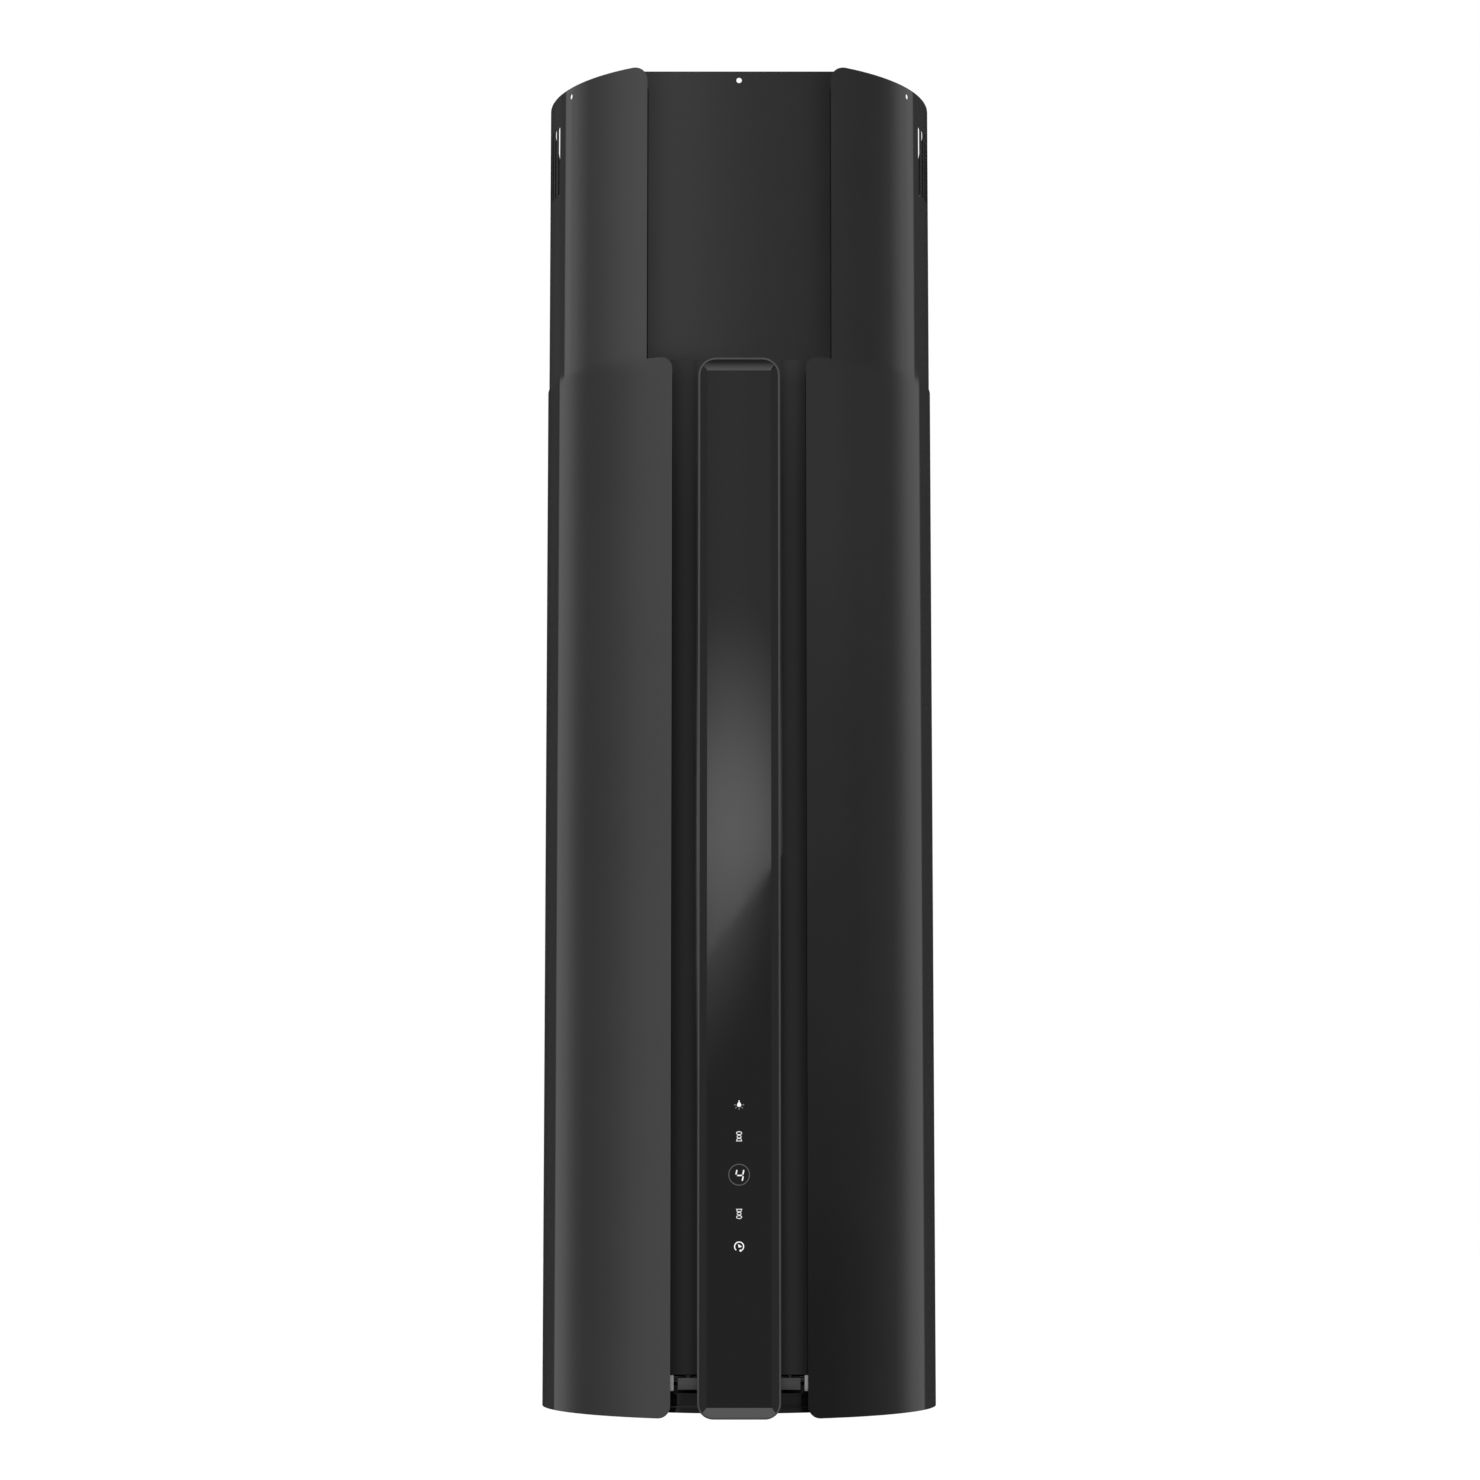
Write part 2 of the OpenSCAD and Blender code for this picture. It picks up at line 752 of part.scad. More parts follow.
module inlet_ring(side) {
  bell_r = inlet_r - inlet_lip_r;
  color(plastic) hang() translate([side * side_x, blower_y, blower_z])
    rotate([0, side * 90, 0]) difference() {
      union() {
        cylinder(r = inlet_r + ring_flange_w, h = case_t);
        translate([0, 0, -bell_r]) cylinder(r = inlet_r - 0.2, h = bell_r + case_t);
      }
      translate([0, 0, -bell_r - over]) cylinder(r = inlet_lip_r, h = bell_r + over + case_t);
      rotate_extrude() translate([inlet_lip_r - over, 0]) difference() {
        translate([0, case_t - bell_r]) square([bell_r + over, bell_r + over]);
        translate([bell_r + over, case_t - bell_r]) circle(bell_r - 1.2);
      }
    }
}

module inlet_ring_left() { inlet_ring(-1); }
module inlet_ring_right() { inlet_ring(1); }

module adapter_slab(half_x, half_y, z, h) {
  translate([-half_x, duct_y - half_y, z]) cube([2 * half_x, 2 * half_y, h]);
}

module outlet_adapter() {
  throat_x = case_half_w;
  throat_y = (scroll_r1 - tongue_y) / 2;
  seat_z = flap_z - flap_t / 2 - seat_gap;
  color(plastic) hang() difference() {
    union() {
      adapter_slab(adapter_half_x, adapter_half_y, outlet_z, adapter_h);
      translate([0, duct_y, collar_z]) cylinder(r = collar_r, h = collar_l);
    }
    adapter_slab(throat_x, throat_y, outlet_z - over, adapter_t + 2 * over);
    adapter_slab(adapter_half_x - adapter_t, adapter_half_y - adapter_t,
                 outlet_z + adapter_t, adapter_h - 2 * adapter_t);
    translate([0, duct_y, collar_z - 2 * adapter_t])
      cylinder(r = collar_r - adapter_t - seat_w, h = seat_z - collar_z + 3 * adapter_t);
    translate([0, duct_y, seat_z])
      cylinder(r = collar_r - adapter_t, h = collar_l + collar_z - seat_z + over);
    translate([-collar_r - over, duct_y, flap_z]) rotate([0, 90, 0])
      cylinder(r = pin_r, h = 2 * (collar_r + over));
  }
}

module flap_pin() {
  color(zinc) hang() translate([-collar_r, duct_y, flap_z]) rotate([0, 90, 0])
    cylinder(r = pin_r, h = 2 * collar_r);
}

// A half-disc flap on the pin: side is -1 for the front one and 1 for the rear one
module flap(side, knuckle_xs) {
  color(grey_plastic) hang() translate([0, duct_y, flap_z]) difference() {
    union() {
      intersection() {
        translate([0, 0, -flap_t / 2]) cylinder(r = flap_r, h = flap_t);
        translate([-flap_r, side > 0 ? flap_start : -flap_r, -flap_t / 2])
          cube([2 * flap_r, flap_r - flap_start, flap_t]);
      }
      for (x = knuckle_xs) translate([x, 0, 0]) {
        rotate([0, 90, 0]) cylinder(r = knuckle_r, h = knuckle_w);
        translate([0, side > 0 ? 0 : -flap_start - over, -flap_t / 2])
          cube([knuckle_w, flap_start + over, flap_t]);
      }
    }
    translate([-collar_r, 0, 0]) rotate([0, 90, 0])
      cylinder(r = pin_r + run_gap, h = 2 * collar_r);
  }
}

module flap_front() { flap(-1, [-48, 20]); }
module flap_rear() { flap(1, [-33, 35]); }

module blower_hanger() {
  t = 1.5;
  half_w = 60;
  foot_w = 20;
  h = 120;
  scroll_back_y = plate_face_y - hanger_reach;
  z0 = blower_z + 20;
  color(zinc) hang() {
    translate([-half_w, scroll_back_y, z0]) cube([2 * half_w, t, h]);
    for (side = [-1, 1]) {
      translate([side * (half_w - t / 2) - t / 2, scroll_back_y, z0])
        cube([t, hanger_reach, h]);
      translate([side > 0 ? half_w : -half_w - foot_w, plate_face_y - t, z0])
        cube([foot_w, t, h]);
    }
  }
}

// One blade, a thin plate that leans forward, drawn square to the blower axis
module blade() {
  blade_l = 17;
  blade_t = 1.2;
  lean = 35;
  translate([impeller_r - 3, 0]) rotate([0, 0, 180 - lean])
    translate([0, -blade_t / 2]) square([blade_l, blade_t]);
}

// Both banks of blades, clinched between the end rings and the centre disc
module impeller_blades() {
  bank_x = disc_t / 2 + joint_gap;
  bank_w = impeller_w / 2 - ring_w - disc_t / 2 - 2 * joint_gap;
  color(grey_plastic) hang() for (x = [bank_x, -bank_x - bank_w])
    on_blower(x) linear_extrude(bank_w)
      for (i = [0 : blade_count - 1]) rotate([0, 0, i * 360 / blade_count]) blade();
}

module impeller_rings() {
  color(grey_plastic) hang() for (x = [-impeller_w / 2, impeller_w / 2 - ring_w])
    on_blower(x) linear_extrude(ring_w) difference() {
      circle(impeller_r);
      circle(impeller_r - ring_d);
    }
}

module impeller_disc() {
  hub_x = -8;
  hub_l = 24;
  color(grey_plastic) hang() difference() {
    union() {
      on_blower(-disc_t / 2) cylinder(r = impeller_r - 4, h = disc_t);
      on_blower(hub_x) cylinder(r = hub_r, h = hub_l);
    }
    on_blower(hub_x - over) cylinder(r = shaft_r, h = hub_l + 2 * over);
  }
}

module motor_shaft() {
  color(silver) hang() on_blower(motor_x0 + 6)
    cylinder(r = shaft_r, h = 14 - motor_x0 - 6);
}

module rotor_core() {
  color(silver) hang() on_blower(core_x0) difference() {
    cylinder(r = core_r, h = core_x1 - core_x0);
    translate([0, 0, -over]) cylinder(r = shaft_r, h = core_x1 - core_x0 + 2 * over);
  }
}

// Annular ring about the blower axis from x0 to x1
module axis_ring(r_out, r_in, x0, x1) {
  on_blower(x0) difference() {
    cylinder(r = r_out, h = x1 - x0);
    translate([0, 0, -over]) cylinder(r = r_in, h = x1 - x0 + 2 * over);
  }
}

module motor_case() {
  color(silver) hang() {
    axis_ring(motor_r, motor_r - motor_t, motor_x0, motor_x1 - motor_t);
    axis_ring(motor_r - motor_t / 2, bearing_r, motor_x0, motor_x0 + motor_t);
    axis_ring(bearing_r + motor_t, bearing_r, motor_x0, motor_x0 + motor_t + bearing_w);
  }
}

module motor_cap() {
  color(silver) hang() {
    axis_ring(motor_r, bearing_r, motor_x1 - motor_t, motor_x1);
    axis_ring(bearing_r + motor_t, bearing_r, motor_x1 - motor_t - bearing_w, motor_x1);
  }
}

module stator() {
  color("peru") hang()
    axis_ring(stator_r, core_r + core_gap, core_x0, core_x1);
}

module bearing(x) {
  color(silver) hang() axis_ring(bearing_r, shaft_r + run_gap, x, x + bearing_w);
}

module bearing_outer() { bearing(motor_x0 + motor_t); }
module bearing_inner() { bearing(motor_x1 - motor_t - bearing_w); }

module motor_spider() {
  arm_w = 16;
  color(zinc) hang() on_blower(motor_x0 - spider_t) linear_extrude(spider_t)
    difference() {
      union() {
        circle(motor_r - 4);
        for (a = spider_angles) rotate(a) {
          translate([0, -arm_w / 2]) square([grommet_pcd_r, arm_w]);
          translate([grommet_pcd_r, 0]) circle(d = arm_w + 4);
        }
      }
      circle(bearing_r);
      for (a = spider_angles) rotate(a)
        translate([grommet_pcd_r, 0]) circle(grommet_bore_r);
    }
}

module motor_grommets() {
  color(plastic) hang() on_blower(motor_x0) for (a = spider_angles)
    rotate([0, 0, a]) translate([grommet_pcd_r, 0, 0]) difference() {
      cylinder(r = grommet_r, h = -side_x - motor_x0);
      translate([0, 0, -over])
        cylinder(r = grommet_bore_r, h = -side_x - motor_x0 + 2 * over);
    }
}

// ---- Junction box ----

module junction_box() {
  color(grey_plastic) hang() difference() {
    translate([-box_w / 2, box_y0, box_z]) cube([box_w, box_d, box_h]);
    translate([-box_w / 2 + box_t, box_y0 - over, box_z + box_t])
      cube([box_w - 2 * box_t, box_d - box_t + over, box_h - 2 * box_t]);
    translate([gland_x, box_y0 + box_d / 2, box_z + box_h - box_t - over])
      cylinder(d = cable_d + 6, h = box_t + 2 * over);
  }
}

module junction_lid() {
  color(grey_plastic) hang() {
    translate([-box_w / 2, box_y0 - lid_t, box_z]) cube([box_w, lid_t, box_h]);
  }
}

module power_board() {
  standoff = 5;
  color("darkgreen") hang() {
    translate([-box_w / 2 + 6, plate_face_y - box_t - standoff - board_t, box_z + 8])
      cube([95, board_t, box_h - 16]);
    for (x = [14, 90], z = [16, box_h - 16])
      translate([-box_w / 2 + x, plate_face_y - box_t, box_z + z]) rotate([90, 0, 0])
        cylinder(r = 3, h = standoff);
  }
}

module run_capacitor() {
  cap_r = 10;
  color("white") hang()
    translate([gland_x - 16, plate_face_y - box_t - cap_r, box_z + 12])
      cylinder(r = cap_r, h = 44);
}

module terminal_block() {
  pole_w = 9;
  poles = 4;
  color("ivory") hang() for (i = [0 : poles - 1])
    translate([gland_x - 20 + i * pole_w, plate_face_y - box_t - 12, box_z + 66])
      cube([pole_w - 0.4, 12, 18]);
}

module cable_gland() {
  hex_r = 12;
  neck_r = cable_d / 2 + 3;
  color(plastic) hang() translate([gland_x, box_y0 + box_d / 2, 0]) difference() {
    union() {
      translate([0, 0, box_z + box_h - box_t - 8]) cylinder(r = neck_r, h = box_t + 8);
      translate([0, 0, box_z + box_h]) cylinder(r = hex_r, h = 6, $fn = 6);
      translate([0, 0, box_z + box_h + 6]) cylinder(r = neck_r + 1.5, h = gland_l - 6);
    }
    translate([0, 0, box_z + box_h - box_t - 9])
      cylinder(d = cable_d, h = gland_l + box_t + 10);
  }
}

module gland_nut() {
  nut_r = 11;
  nut_h = 4;
  color(plastic) hang() translate([gland_x, box_y0 + box_d / 2, box_z + box_h - box_t - nut_h])
    difference() {
      cylinder(r = nut_r, h = nut_h, $fn = 6);
      translate([0, 0, -over]) cylinder(r = cable_d / 2 + 3, h = nut_h + 2 * over);
    }
}

// ---- Grease filter ----

filter_rim = 12;
filter_skin = 1;

module filter_block(inset, z0, h) {
  translate([-filter_w / 2 + inset, filter_front_y + inset, plate_z + z0])
    cube([filter_w - 2 * inset, filter_l - 2 * inset, h]);
}

module filter_frame() {
  color(silver) hang() {
    difference() {
      filter_block(0, 0, filter_t);
      filter_block(filter_rim, -over, filter_t + 2 * over);
      filter_block(filter_skin, filter_skin, filter_t - 2 * filter_skin);
    }
    for (side = [-1, 1])
      translate([side * (filter_w / 2 - eps), hinge_y, hinge_z]) rotate([0, side * 90, 0])
        cylinder(r = hinge_pin_r, h = hinge_gap + lug_t + 1);
  }
}

module filter_mesh() {
  color(silver) hang() filter_block(filter_skin, filter_skin, filter_t - 2 * filter_skin);
}

module filter_handle() {
  handle_w = 64;
  handle_d = 12;
  handle_h = 5;
  grip_w = 48;
  grip_h = 3;
  y0 = filter_front_y + 1;
  color(plastic) hang() difference() {
    translate([-handle_w / 2, y0, plate_z - handle_h]) cube([handle_w, handle_d, handle_h]);
    translate([-grip_w / 2, y0 + 3, plate_z - handle_h - over])
      cube([grip_w, handle_d, grip_h + over]);
  }
}

module filter_magnets() {
  magnet_l = 24;
  magnet_d = 8;
  magnet_h = 5;
  color(silver) hang() for (side = [-1, 1])
    translate([side * filter_w / 4 - magnet_l / 2, opening_front_y - magnet_d, plate_top_z])
      cube([magnet_l, magnet_d, magnet_h]);
}

// ---- Lamps ----

module at_lamp(side) {
  hang() translate([side * lamp_span / 2, lamp_y, plate_z]) children();
}

module lamp_housing(side) {
  wall = 1.5;
  color(plastic) at_lamp(side) difference() {
    translate([0, 0, lens_t]) cylinder(r = lens_r + 2, h = lamp_h - lens_t);
    translate([0, 0, lens_t - over])
      cylinder(r = lens_r + 2 - wall, h = lamp_h - lens_t + over - wall);
  }
}

module lamp_lens(side) {
  color("white") at_lamp(side) cylinder(r = lens_r, h = lens_t);
}

module lamp_bezel(side) {
  bezel_t = 1.5;
  color(silver) at_lamp(side) difference() {
    union() {
      translate([0, 0, -bezel_t]) cylinder(r = lens_r + bezel_w, h = bezel_t);
      cylinder(r = lens_r + 2, h = lens_t);
    }
    translate([0, 0, -bezel_t - over]) cylinder(r = lens_r, h = bezel_t + lens_t + 2 * over);
  }
}

left_shell();
right_shell();
front_channel();
back_plate();
bottom_cover();
front_bracket();
wing_bracket(-1);  // wing_bracket_left
wing_bracket(1);  // wing_bracket_right
cover_brackets();
bracket_screws();
control_glass();
control_trim();
control_tray();
touch_board();
display_module();
key_light_guides();
chimney_left();
chimney_right();
chimney_channel();
chimney_wall_bracket();
chimney_tie();
scroll_left();
scroll_right();
inlet_ring_left();
inlet_ring_right();
outlet_adapter();
blower_hanger();
scroll_screws();
impeller_blades();
impeller_rings();
impeller_disc();
motor_shaft();
rotor_core();
motor_case();
motor_cap();
stator();
bearing_inner();
bearing_outer();
motor_spider();
motor_grommets();
flap_front();
flap_rear();
flap_pin();
junction_box();
junction_lid();
power_board();
run_capacitor();
terminal_block();
cable_gland();
gland_nut();
filter_frame();
filter_mesh();
filter_handle();
filter_magnets();
lamp_housing(-1);  // lamp_housing_left
lamp_housing(1);  // lamp_housing_right
lamp_lens(-1);  // lamp_lens_left
lamp_lens(1);  // lamp_lens_right
lamp_bezel(-1);  // lamp_bezel_left
lamp_bezel(1);  // lamp_bezel_right
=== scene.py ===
import json
from math import cos, pi, radians, sin

import bmesh
import bpy
from mathutils import Matrix, Vector


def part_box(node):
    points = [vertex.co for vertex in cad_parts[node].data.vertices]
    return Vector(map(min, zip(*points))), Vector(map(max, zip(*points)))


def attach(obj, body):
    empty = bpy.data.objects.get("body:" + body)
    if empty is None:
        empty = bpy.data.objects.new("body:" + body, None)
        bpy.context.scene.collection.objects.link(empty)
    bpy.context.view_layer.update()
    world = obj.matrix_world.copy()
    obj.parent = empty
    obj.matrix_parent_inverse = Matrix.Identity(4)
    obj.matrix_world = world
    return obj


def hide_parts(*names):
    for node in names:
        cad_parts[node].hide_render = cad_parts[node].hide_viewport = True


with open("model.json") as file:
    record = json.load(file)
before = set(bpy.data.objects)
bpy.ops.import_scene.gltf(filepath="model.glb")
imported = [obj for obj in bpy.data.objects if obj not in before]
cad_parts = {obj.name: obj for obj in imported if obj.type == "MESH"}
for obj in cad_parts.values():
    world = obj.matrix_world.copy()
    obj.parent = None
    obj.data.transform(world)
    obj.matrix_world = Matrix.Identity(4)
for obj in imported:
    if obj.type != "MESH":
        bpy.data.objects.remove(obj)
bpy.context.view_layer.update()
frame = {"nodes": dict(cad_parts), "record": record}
nodes = frame["nodes"]


# ---------------------------------------------------------------- shader maths

class Term:
    """One socket of a finish, so that shader maths reads as plain arithmetic."""

    def __init__(self, finish, socket):
        self.finish, self.socket = finish, socket

    def maths(self, operation, *terms, clamp=False):
        return self.finish.add("ShaderNodeMath", {"operation": operation, "use_clamp": clamp},
                               dict(enumerate(terms)))

    def __add__(self, other): return self.maths("ADD", self, other)
    def __radd__(self, other): return self.maths("ADD", other, self)
    def __sub__(self, other): return self.maths("SUBTRACT", self, other)
    def __rsub__(self, other): return self.maths("SUBTRACT", other, self)
    def __mul__(self, other): return self.maths("MULTIPLY", self, other)
    def __rmul__(self, other): return self.maths("MULTIPLY", other, self)
    def __truediv__(self, other): return self.maths("DIVIDE", self, other)
    def __rtruediv__(self, other): return self.maths("DIVIDE", other, self)
    def __neg__(self): return self.maths("MULTIPLY", self, -1.0)
    def __gt__(self, other): return self.maths("GREATER_THAN", self, other)
    def __lt__(self, other): return self.maths("LESS_THAN", self, other)

    def clamped(self): return self.maths("ADD", self, 0.0, clamp=True)
    def size(self): return self.maths("ABSOLUTE", self)
    def fraction(self): return self.maths("FRACT", self)
    def sine(self): return self.maths("SINE", self)
    def power(self, by): return self.maths("POWER", self, by)
    def at_least(self, other): return self.maths("MAXIMUM", self, other)
    def at_most(self, other): return self.maths("MINIMUM", self, other)

    def ramp(self, low, high, start=0.0, end=1.0, smooth=True):
        """This term from low..high carried over to start..end."""
        how = "SMOOTHSTEP" if smooth else "LINEAR"
        return self.finish.add("ShaderNodeMapRange", {"interpolation_type": how},
                               {"Value": self, "From Min": low, "From Max": high,
                                "To Min": start, "To Max": end})


class Finish:
    """A node tree and the one way in which nodes are added to it."""

    def __init__(self, tree):
        self.tree = tree
        self.tree.nodes.clear()

    def add(self, kind, settings=None, sockets=None, out=0):
        """Adds a node, sets it up, links or fills its sockets and hands back one of its outputs."""
        node = self.tree.nodes.new(kind)
        for key, value in (settings or {}).items():
            if key == "stops":
                marks = node.color_ramp.elements
                while len(marks) < len(value):
                    marks.new(0.5)
                for mark, (place, colour) in zip(marks, value):
                    mark.position = place
                    mark.color = (*colour, 1.0)
            else:
                setattr(node, key, value)
        for key, value in (sockets or {}).items():
            if isinstance(value, Term):
                self.tree.links.new(value.socket, node.inputs[key])
            else:
                node.inputs[key].default_value = value
        return Term(self, node.outputs[out]) if node.outputs else None

    def place(self):
        return self.add("ShaderNodeTexCoord", out="Object")

    def axes(self, vector):
        """The three parts of a vector, each its own term."""
        return [self.add("ShaderNodeSeparateXYZ", None, {0: vector}, out=i) for i in range(3)]

    def stretched(self, vector, scale, turn=(0.0, 0.0, 0.0)):
        return self.add("ShaderNodeMapping", None, {"Vector": vector, "Rotation": turn, "Scale": scale})

    def noise(self, vector, scale, detail=2.0, rough=0.5):
        return self.add("ShaderNodeTexNoise", None,
                        {"Vector": vector, "Scale": scale, "Detail": detail, "Roughness": rough})

    def cells(self, vector, scale, feature="F1", out="Distance"):
        return self.add("ShaderNodeTexVoronoi", {"feature": feature},
                        {"Vector": vector, "Scale": scale}, out=out)

    def colour(self, amount, dark, light):
        """A colour between dark and light by amount."""
        as_colour = lambda c: c if isinstance(c, Term) else (*c, 1.0)
        return self.add("ShaderNodeMix", {"data_type": "RGBA"},
                        {0: amount, 6: as_colour(dark), 7: as_colour(light)}, out=2)

    def relief(self, height, depth, strength=1.0, under=None):
        """A bump of that depth in metres, laid over another one where under is given."""
        sockets = {"Height": height, "Distance": depth, "Strength": strength}
        if under is not None:
            sockets["Normal"] = under
        return self.add("ShaderNodeBump", None, sockets)

    def surface(self, **sockets):
        """Finishes with one principled surface, its sockets under short names."""
        names = {"base": "Base Color", "rough": "Roughness", "metal": "Metallic", "normal": "Normal",
                 "ior": "IOR", "level": "Specular IOR Level", "clear": "Transmission Weight",
                 "glow": "Emission Color", "glow_strength": "Emission Strength", "sheen": "Sheen Weight"}
        shader = self.add("ShaderNodeBsdfPrincipled", None, {names[k]: v for k, v in sockets.items()})
        self.add("ShaderNodeOutputMaterial", None, {"Surface": shader})


def material(name):
    made = bpy.data.materials.new(name)
    made.use_nodes = True
    return made, Finish(made.node_tree)


# ---------------------------------------------------------------- finishes
# Each colour runs from dark to light and each roughness from low to high.

def paint(name, dark, light, low, high, peel, level=0.5):
    """Baked enamel on sheet steel: orange peel, faint dust and uneven sheen."""
    made, f = material(name)
    place = f.place()
    cloud = f.noise(place, 9.0, 3.0)
    peel_height = f.noise(place, 330.0, 2.0)
    grain = f.noise(place, 2400.0, 2.0, 0.7)
    speck = f.cells(place, 95.0).ramp(0.0, 0.07, 1.0, 0.0)
    base = f.colour(cloud.ramp(0.3, 0.7) * 0.8 + speck * 0.2, dark, light)
    skin = f.relief(grain, 0.000004, 50.0 * peel, f.relief(peel_height, 0.0004, peel))
    f.surface(base=base, rough=cloud.ramp(0.25, 0.75, low, high) + (grain * 0.15 + speck * 0.5) * high,
              level=level, normal=skin)
    return made


def zinc(name):
    """Hot-dip galvanised sheet: interlocking spangle, dull bloom, fine roller marks."""
    made, f = material(name)
    place = f.place()
    wobble = f.add("ShaderNodeVectorMath", {"operation": "MULTIPLY_ADD"},
                   {0: f.noise(place, 60.0, 3.0), 1: (0.012, 0.012, 0.012), 2: place})
    spangle = f.cells(wobble, 85.0, "F1", "Color")
    seam = f.cells(wobble, 85.0, "DISTANCE_TO_EDGE").ramp(0.0, 0.05, 1.0, 0.0)
    tone = f.axes(spangle)[0]
    bloom = f.noise(place, 12.0, 4.0, 0.6)
    rolled = f.noise(f.stretched(place, (30.0, 30.0, 1400.0)), 1.0, 2.0)
    base = f.colour((tone * 0.6 + bloom * 0.5 - seam * 0.15).clamped(),
                    (0.44, 0.45, 0.46), (0.62, 0.63, 0.64))
    f.surface(base=base, rough=0.36 + tone * 0.14 + bloom * 0.1, metal=0.85,
              normal=f.relief(rolled * 0.3 + seam * 0.5 + tone * 0.3, 0.00008, 0.5))
    return made


def brushed(name, dark, light, low, high, grain_scale, metal=1.0):
    """Brushed metal: long fine lines, some deeper, with smudges in the sheen."""
    made, f = material(name)
    place = f.place()
    lines = f.noise(f.stretched(place, grain_scale), 1.0, 4.0, 0.65)
    deep = f.noise(f.stretched(place, tuple(0.28 * s for s in grain_scale)), 1.0, 2.0).ramp(0.55, 0.75)
    smudge = f.noise(place, 22.0, 3.0)
    base = f.colour((lines * 0.7 + smudge * 0.4 - deep * 0.2).clamped(), dark, light)
    f.surface(base=base, rough=smudge.ramp(0.3, 0.7, low, high) + lines * 0.08, metal=metal,
              normal=f.relief(lines + deep * 0.5, 0.00005, 0.35))
    return made


def black_glass():
    """Tempered glass backed with black ink: deep, clean, with a trace of wiping marks."""
    made, f = material("black_glass")
    place = f.place()
    wipe = f.noise(f.stretched(place, (34.0, 34.0, 9.0), (0.0, 0.5, 0.0)), 1.0, 3.0)
    dust = f.cells(place, 240.0).ramp(0.0, 0.05, 1.0, 0.0)
    ink = f.noise(place, 420.0, 2.0)
    base = f.colour(ink * 0.6 + dust * 0.4, (0.0018, 0.0018, 0.0019), (0.0030, 0.0030, 0.0031))
    f.surface(base=base, rough=wipe.ramp(0.35, 0.7, 0.018, 0.035), ior=1.52,
              normal=f.relief(wipe, 0.00002, 0.05))
    return made


def moulded(name, dark, light, low, high, texture=1500.0, depth=0.00006):
    """Moulded plastic: spark-eroded texture, soft flow clouds and handling sheen."""
    made, f = material(name)
    place = f.place()
    grain = f.noise(place, texture, 2.0, 0.7)
    pits = f.cells(place, texture * 0.6)
    cloud = f.noise(place, 14.0, 3.0)
    base = f.colour((cloud * 0.7 + grain * 0.4 - 0.05).clamped(), dark, light)
    f.surface(base=base, rough=cloud.ramp(0.3, 0.7, low, high) + grain * 0.05,
              normal=f.relief(grain * 0.6 + pits * 0.4, depth, 0.4))
    return made


def circuit_board():
    """Green solder mask over copper tracks, with tinned pads on a grid."""
    made, f = material("circuit_board")
    place = f.place()
    across, _, up = f.axes(place)
    wander = f.noise(place, 55.0, 1.0)
    run = ((up * 420.0 + wander * 3.0).fraction() - 0.5).size()
    branch = ((across * 260.0 + wander * 2.0).fraction() - 0.5).size()
    track = (run.ramp(0.30, 0.36) * (wander > 0.5)).at_least(branch.ramp(0.36, 0.42) * (wander < 0.46))
    pad = ((across * 200.0).fraction() - 0.5).size().at_least(((up * 200.0).fraction() - 0.5).size())
    tinned = pad.ramp(0.13, 0.16, 1.0, 0.0) * (f.noise(place, 33.0) > 0.56)
    mask = f.colour(track, (0.010, 0.085, 0.030), (0.030, 0.170, 0.060))
    f.surface(base=f.colour(tinned, mask, (0.62, 0.62, 0.60)), metal=tinned * 0.9,
              rough=0.32 - tinned * 0.08, normal=f.relief(track * 0.6 + tinned, 0.00005, 0.8))
    return made


def display_face():
    """Smoked filter over the digit, with the faint unlit segments' mask."""
    made, f = material("display_face")
    place = f.place()
    across, _, up = f.axes(place)
    mesh = ((across * 900.0).fraction() - 0.5).size().at_least(((up * 900.0).fraction() - 0.5).size())
    cloud = f.noise(place, 60.0, 2.0)
    base = f.colour(mesh.ramp(0.3, 0.5) * 0.6 + cloud * 0.4, (0.006, 0.006, 0.006), (0.020, 0.020, 0.021))
    f.surface(base=base, rough=0.10 + cloud * 0.08, normal=f.relief(mesh, 0.00002, 0.3))
    return made


def clear_acrylic(name, tint, low, high):
    """Clear moulded acrylic, faintly clouded, with drawing scratches along it."""
    made, f = material(name)
    place = f.place()
    cloud = f.noise(place, 70.0, 3.0)
    scratch = f.noise(f.stretched(place, (900.0, 60.0, 60.0)), 1.0, 2.0)
    f.surface(base=f.colour(cloud, tuple(0.85 * t for t in tint), tint),
              rough=cloud.ramp(0.3, 0.7, low, high), clear=0.55, ior=1.49,
              normal=f.relief(scratch, 0.00003, 0.3))
    return made


def lamp_lens():
    """Frosted lamp lens with fine prisms in rings on its face."""
    made, f = material("lamp_lens")
    place = f.place()
    frost = f.noise(place, 1800.0, 2.0, 0.7)
    prism = f.cells(place, 620.0)
    cloud = f.noise(place, 45.0, 2.0)
    base = f.colour(cloud * 0.6 + prism * 0.4, (0.70, 0.70, 0.67), (0.93, 0.93, 0.90))
    f.surface(base=base, rough=0.30 + frost * 0.15, clear=0.35, ior=1.49,
              normal=f.relief(prism + frost * 0.4, 0.0002, 0.6))
    return made


def winding():
    """Enamelled copper wire laid in close turns, with varnish and lacing."""
    made, f = material("copper_winding")
    place = f.place()
    across = f.axes(place)[0]
    turns = (across * 1500.0 + f.noise(place, 90.0) * 1.6).sine()
    varnish = f.noise(place, 40.0, 3.0)
    lacing = ((across * 55.0).fraction() - 0.5).size().ramp(0.42, 0.45)
    copper = f.colour((turns * 0.3 + varnish * 0.7).clamped(), (0.32, 0.10, 0.035), (0.72, 0.30, 0.12))
    f.surface(base=f.colour(lacing, copper, (0.55, 0.50, 0.40)), metal=0.75 - lacing * 0.75,
              rough=0.28 + varnish * 0.2, normal=f.relief(turns, 0.0001, 0.7))
    return made


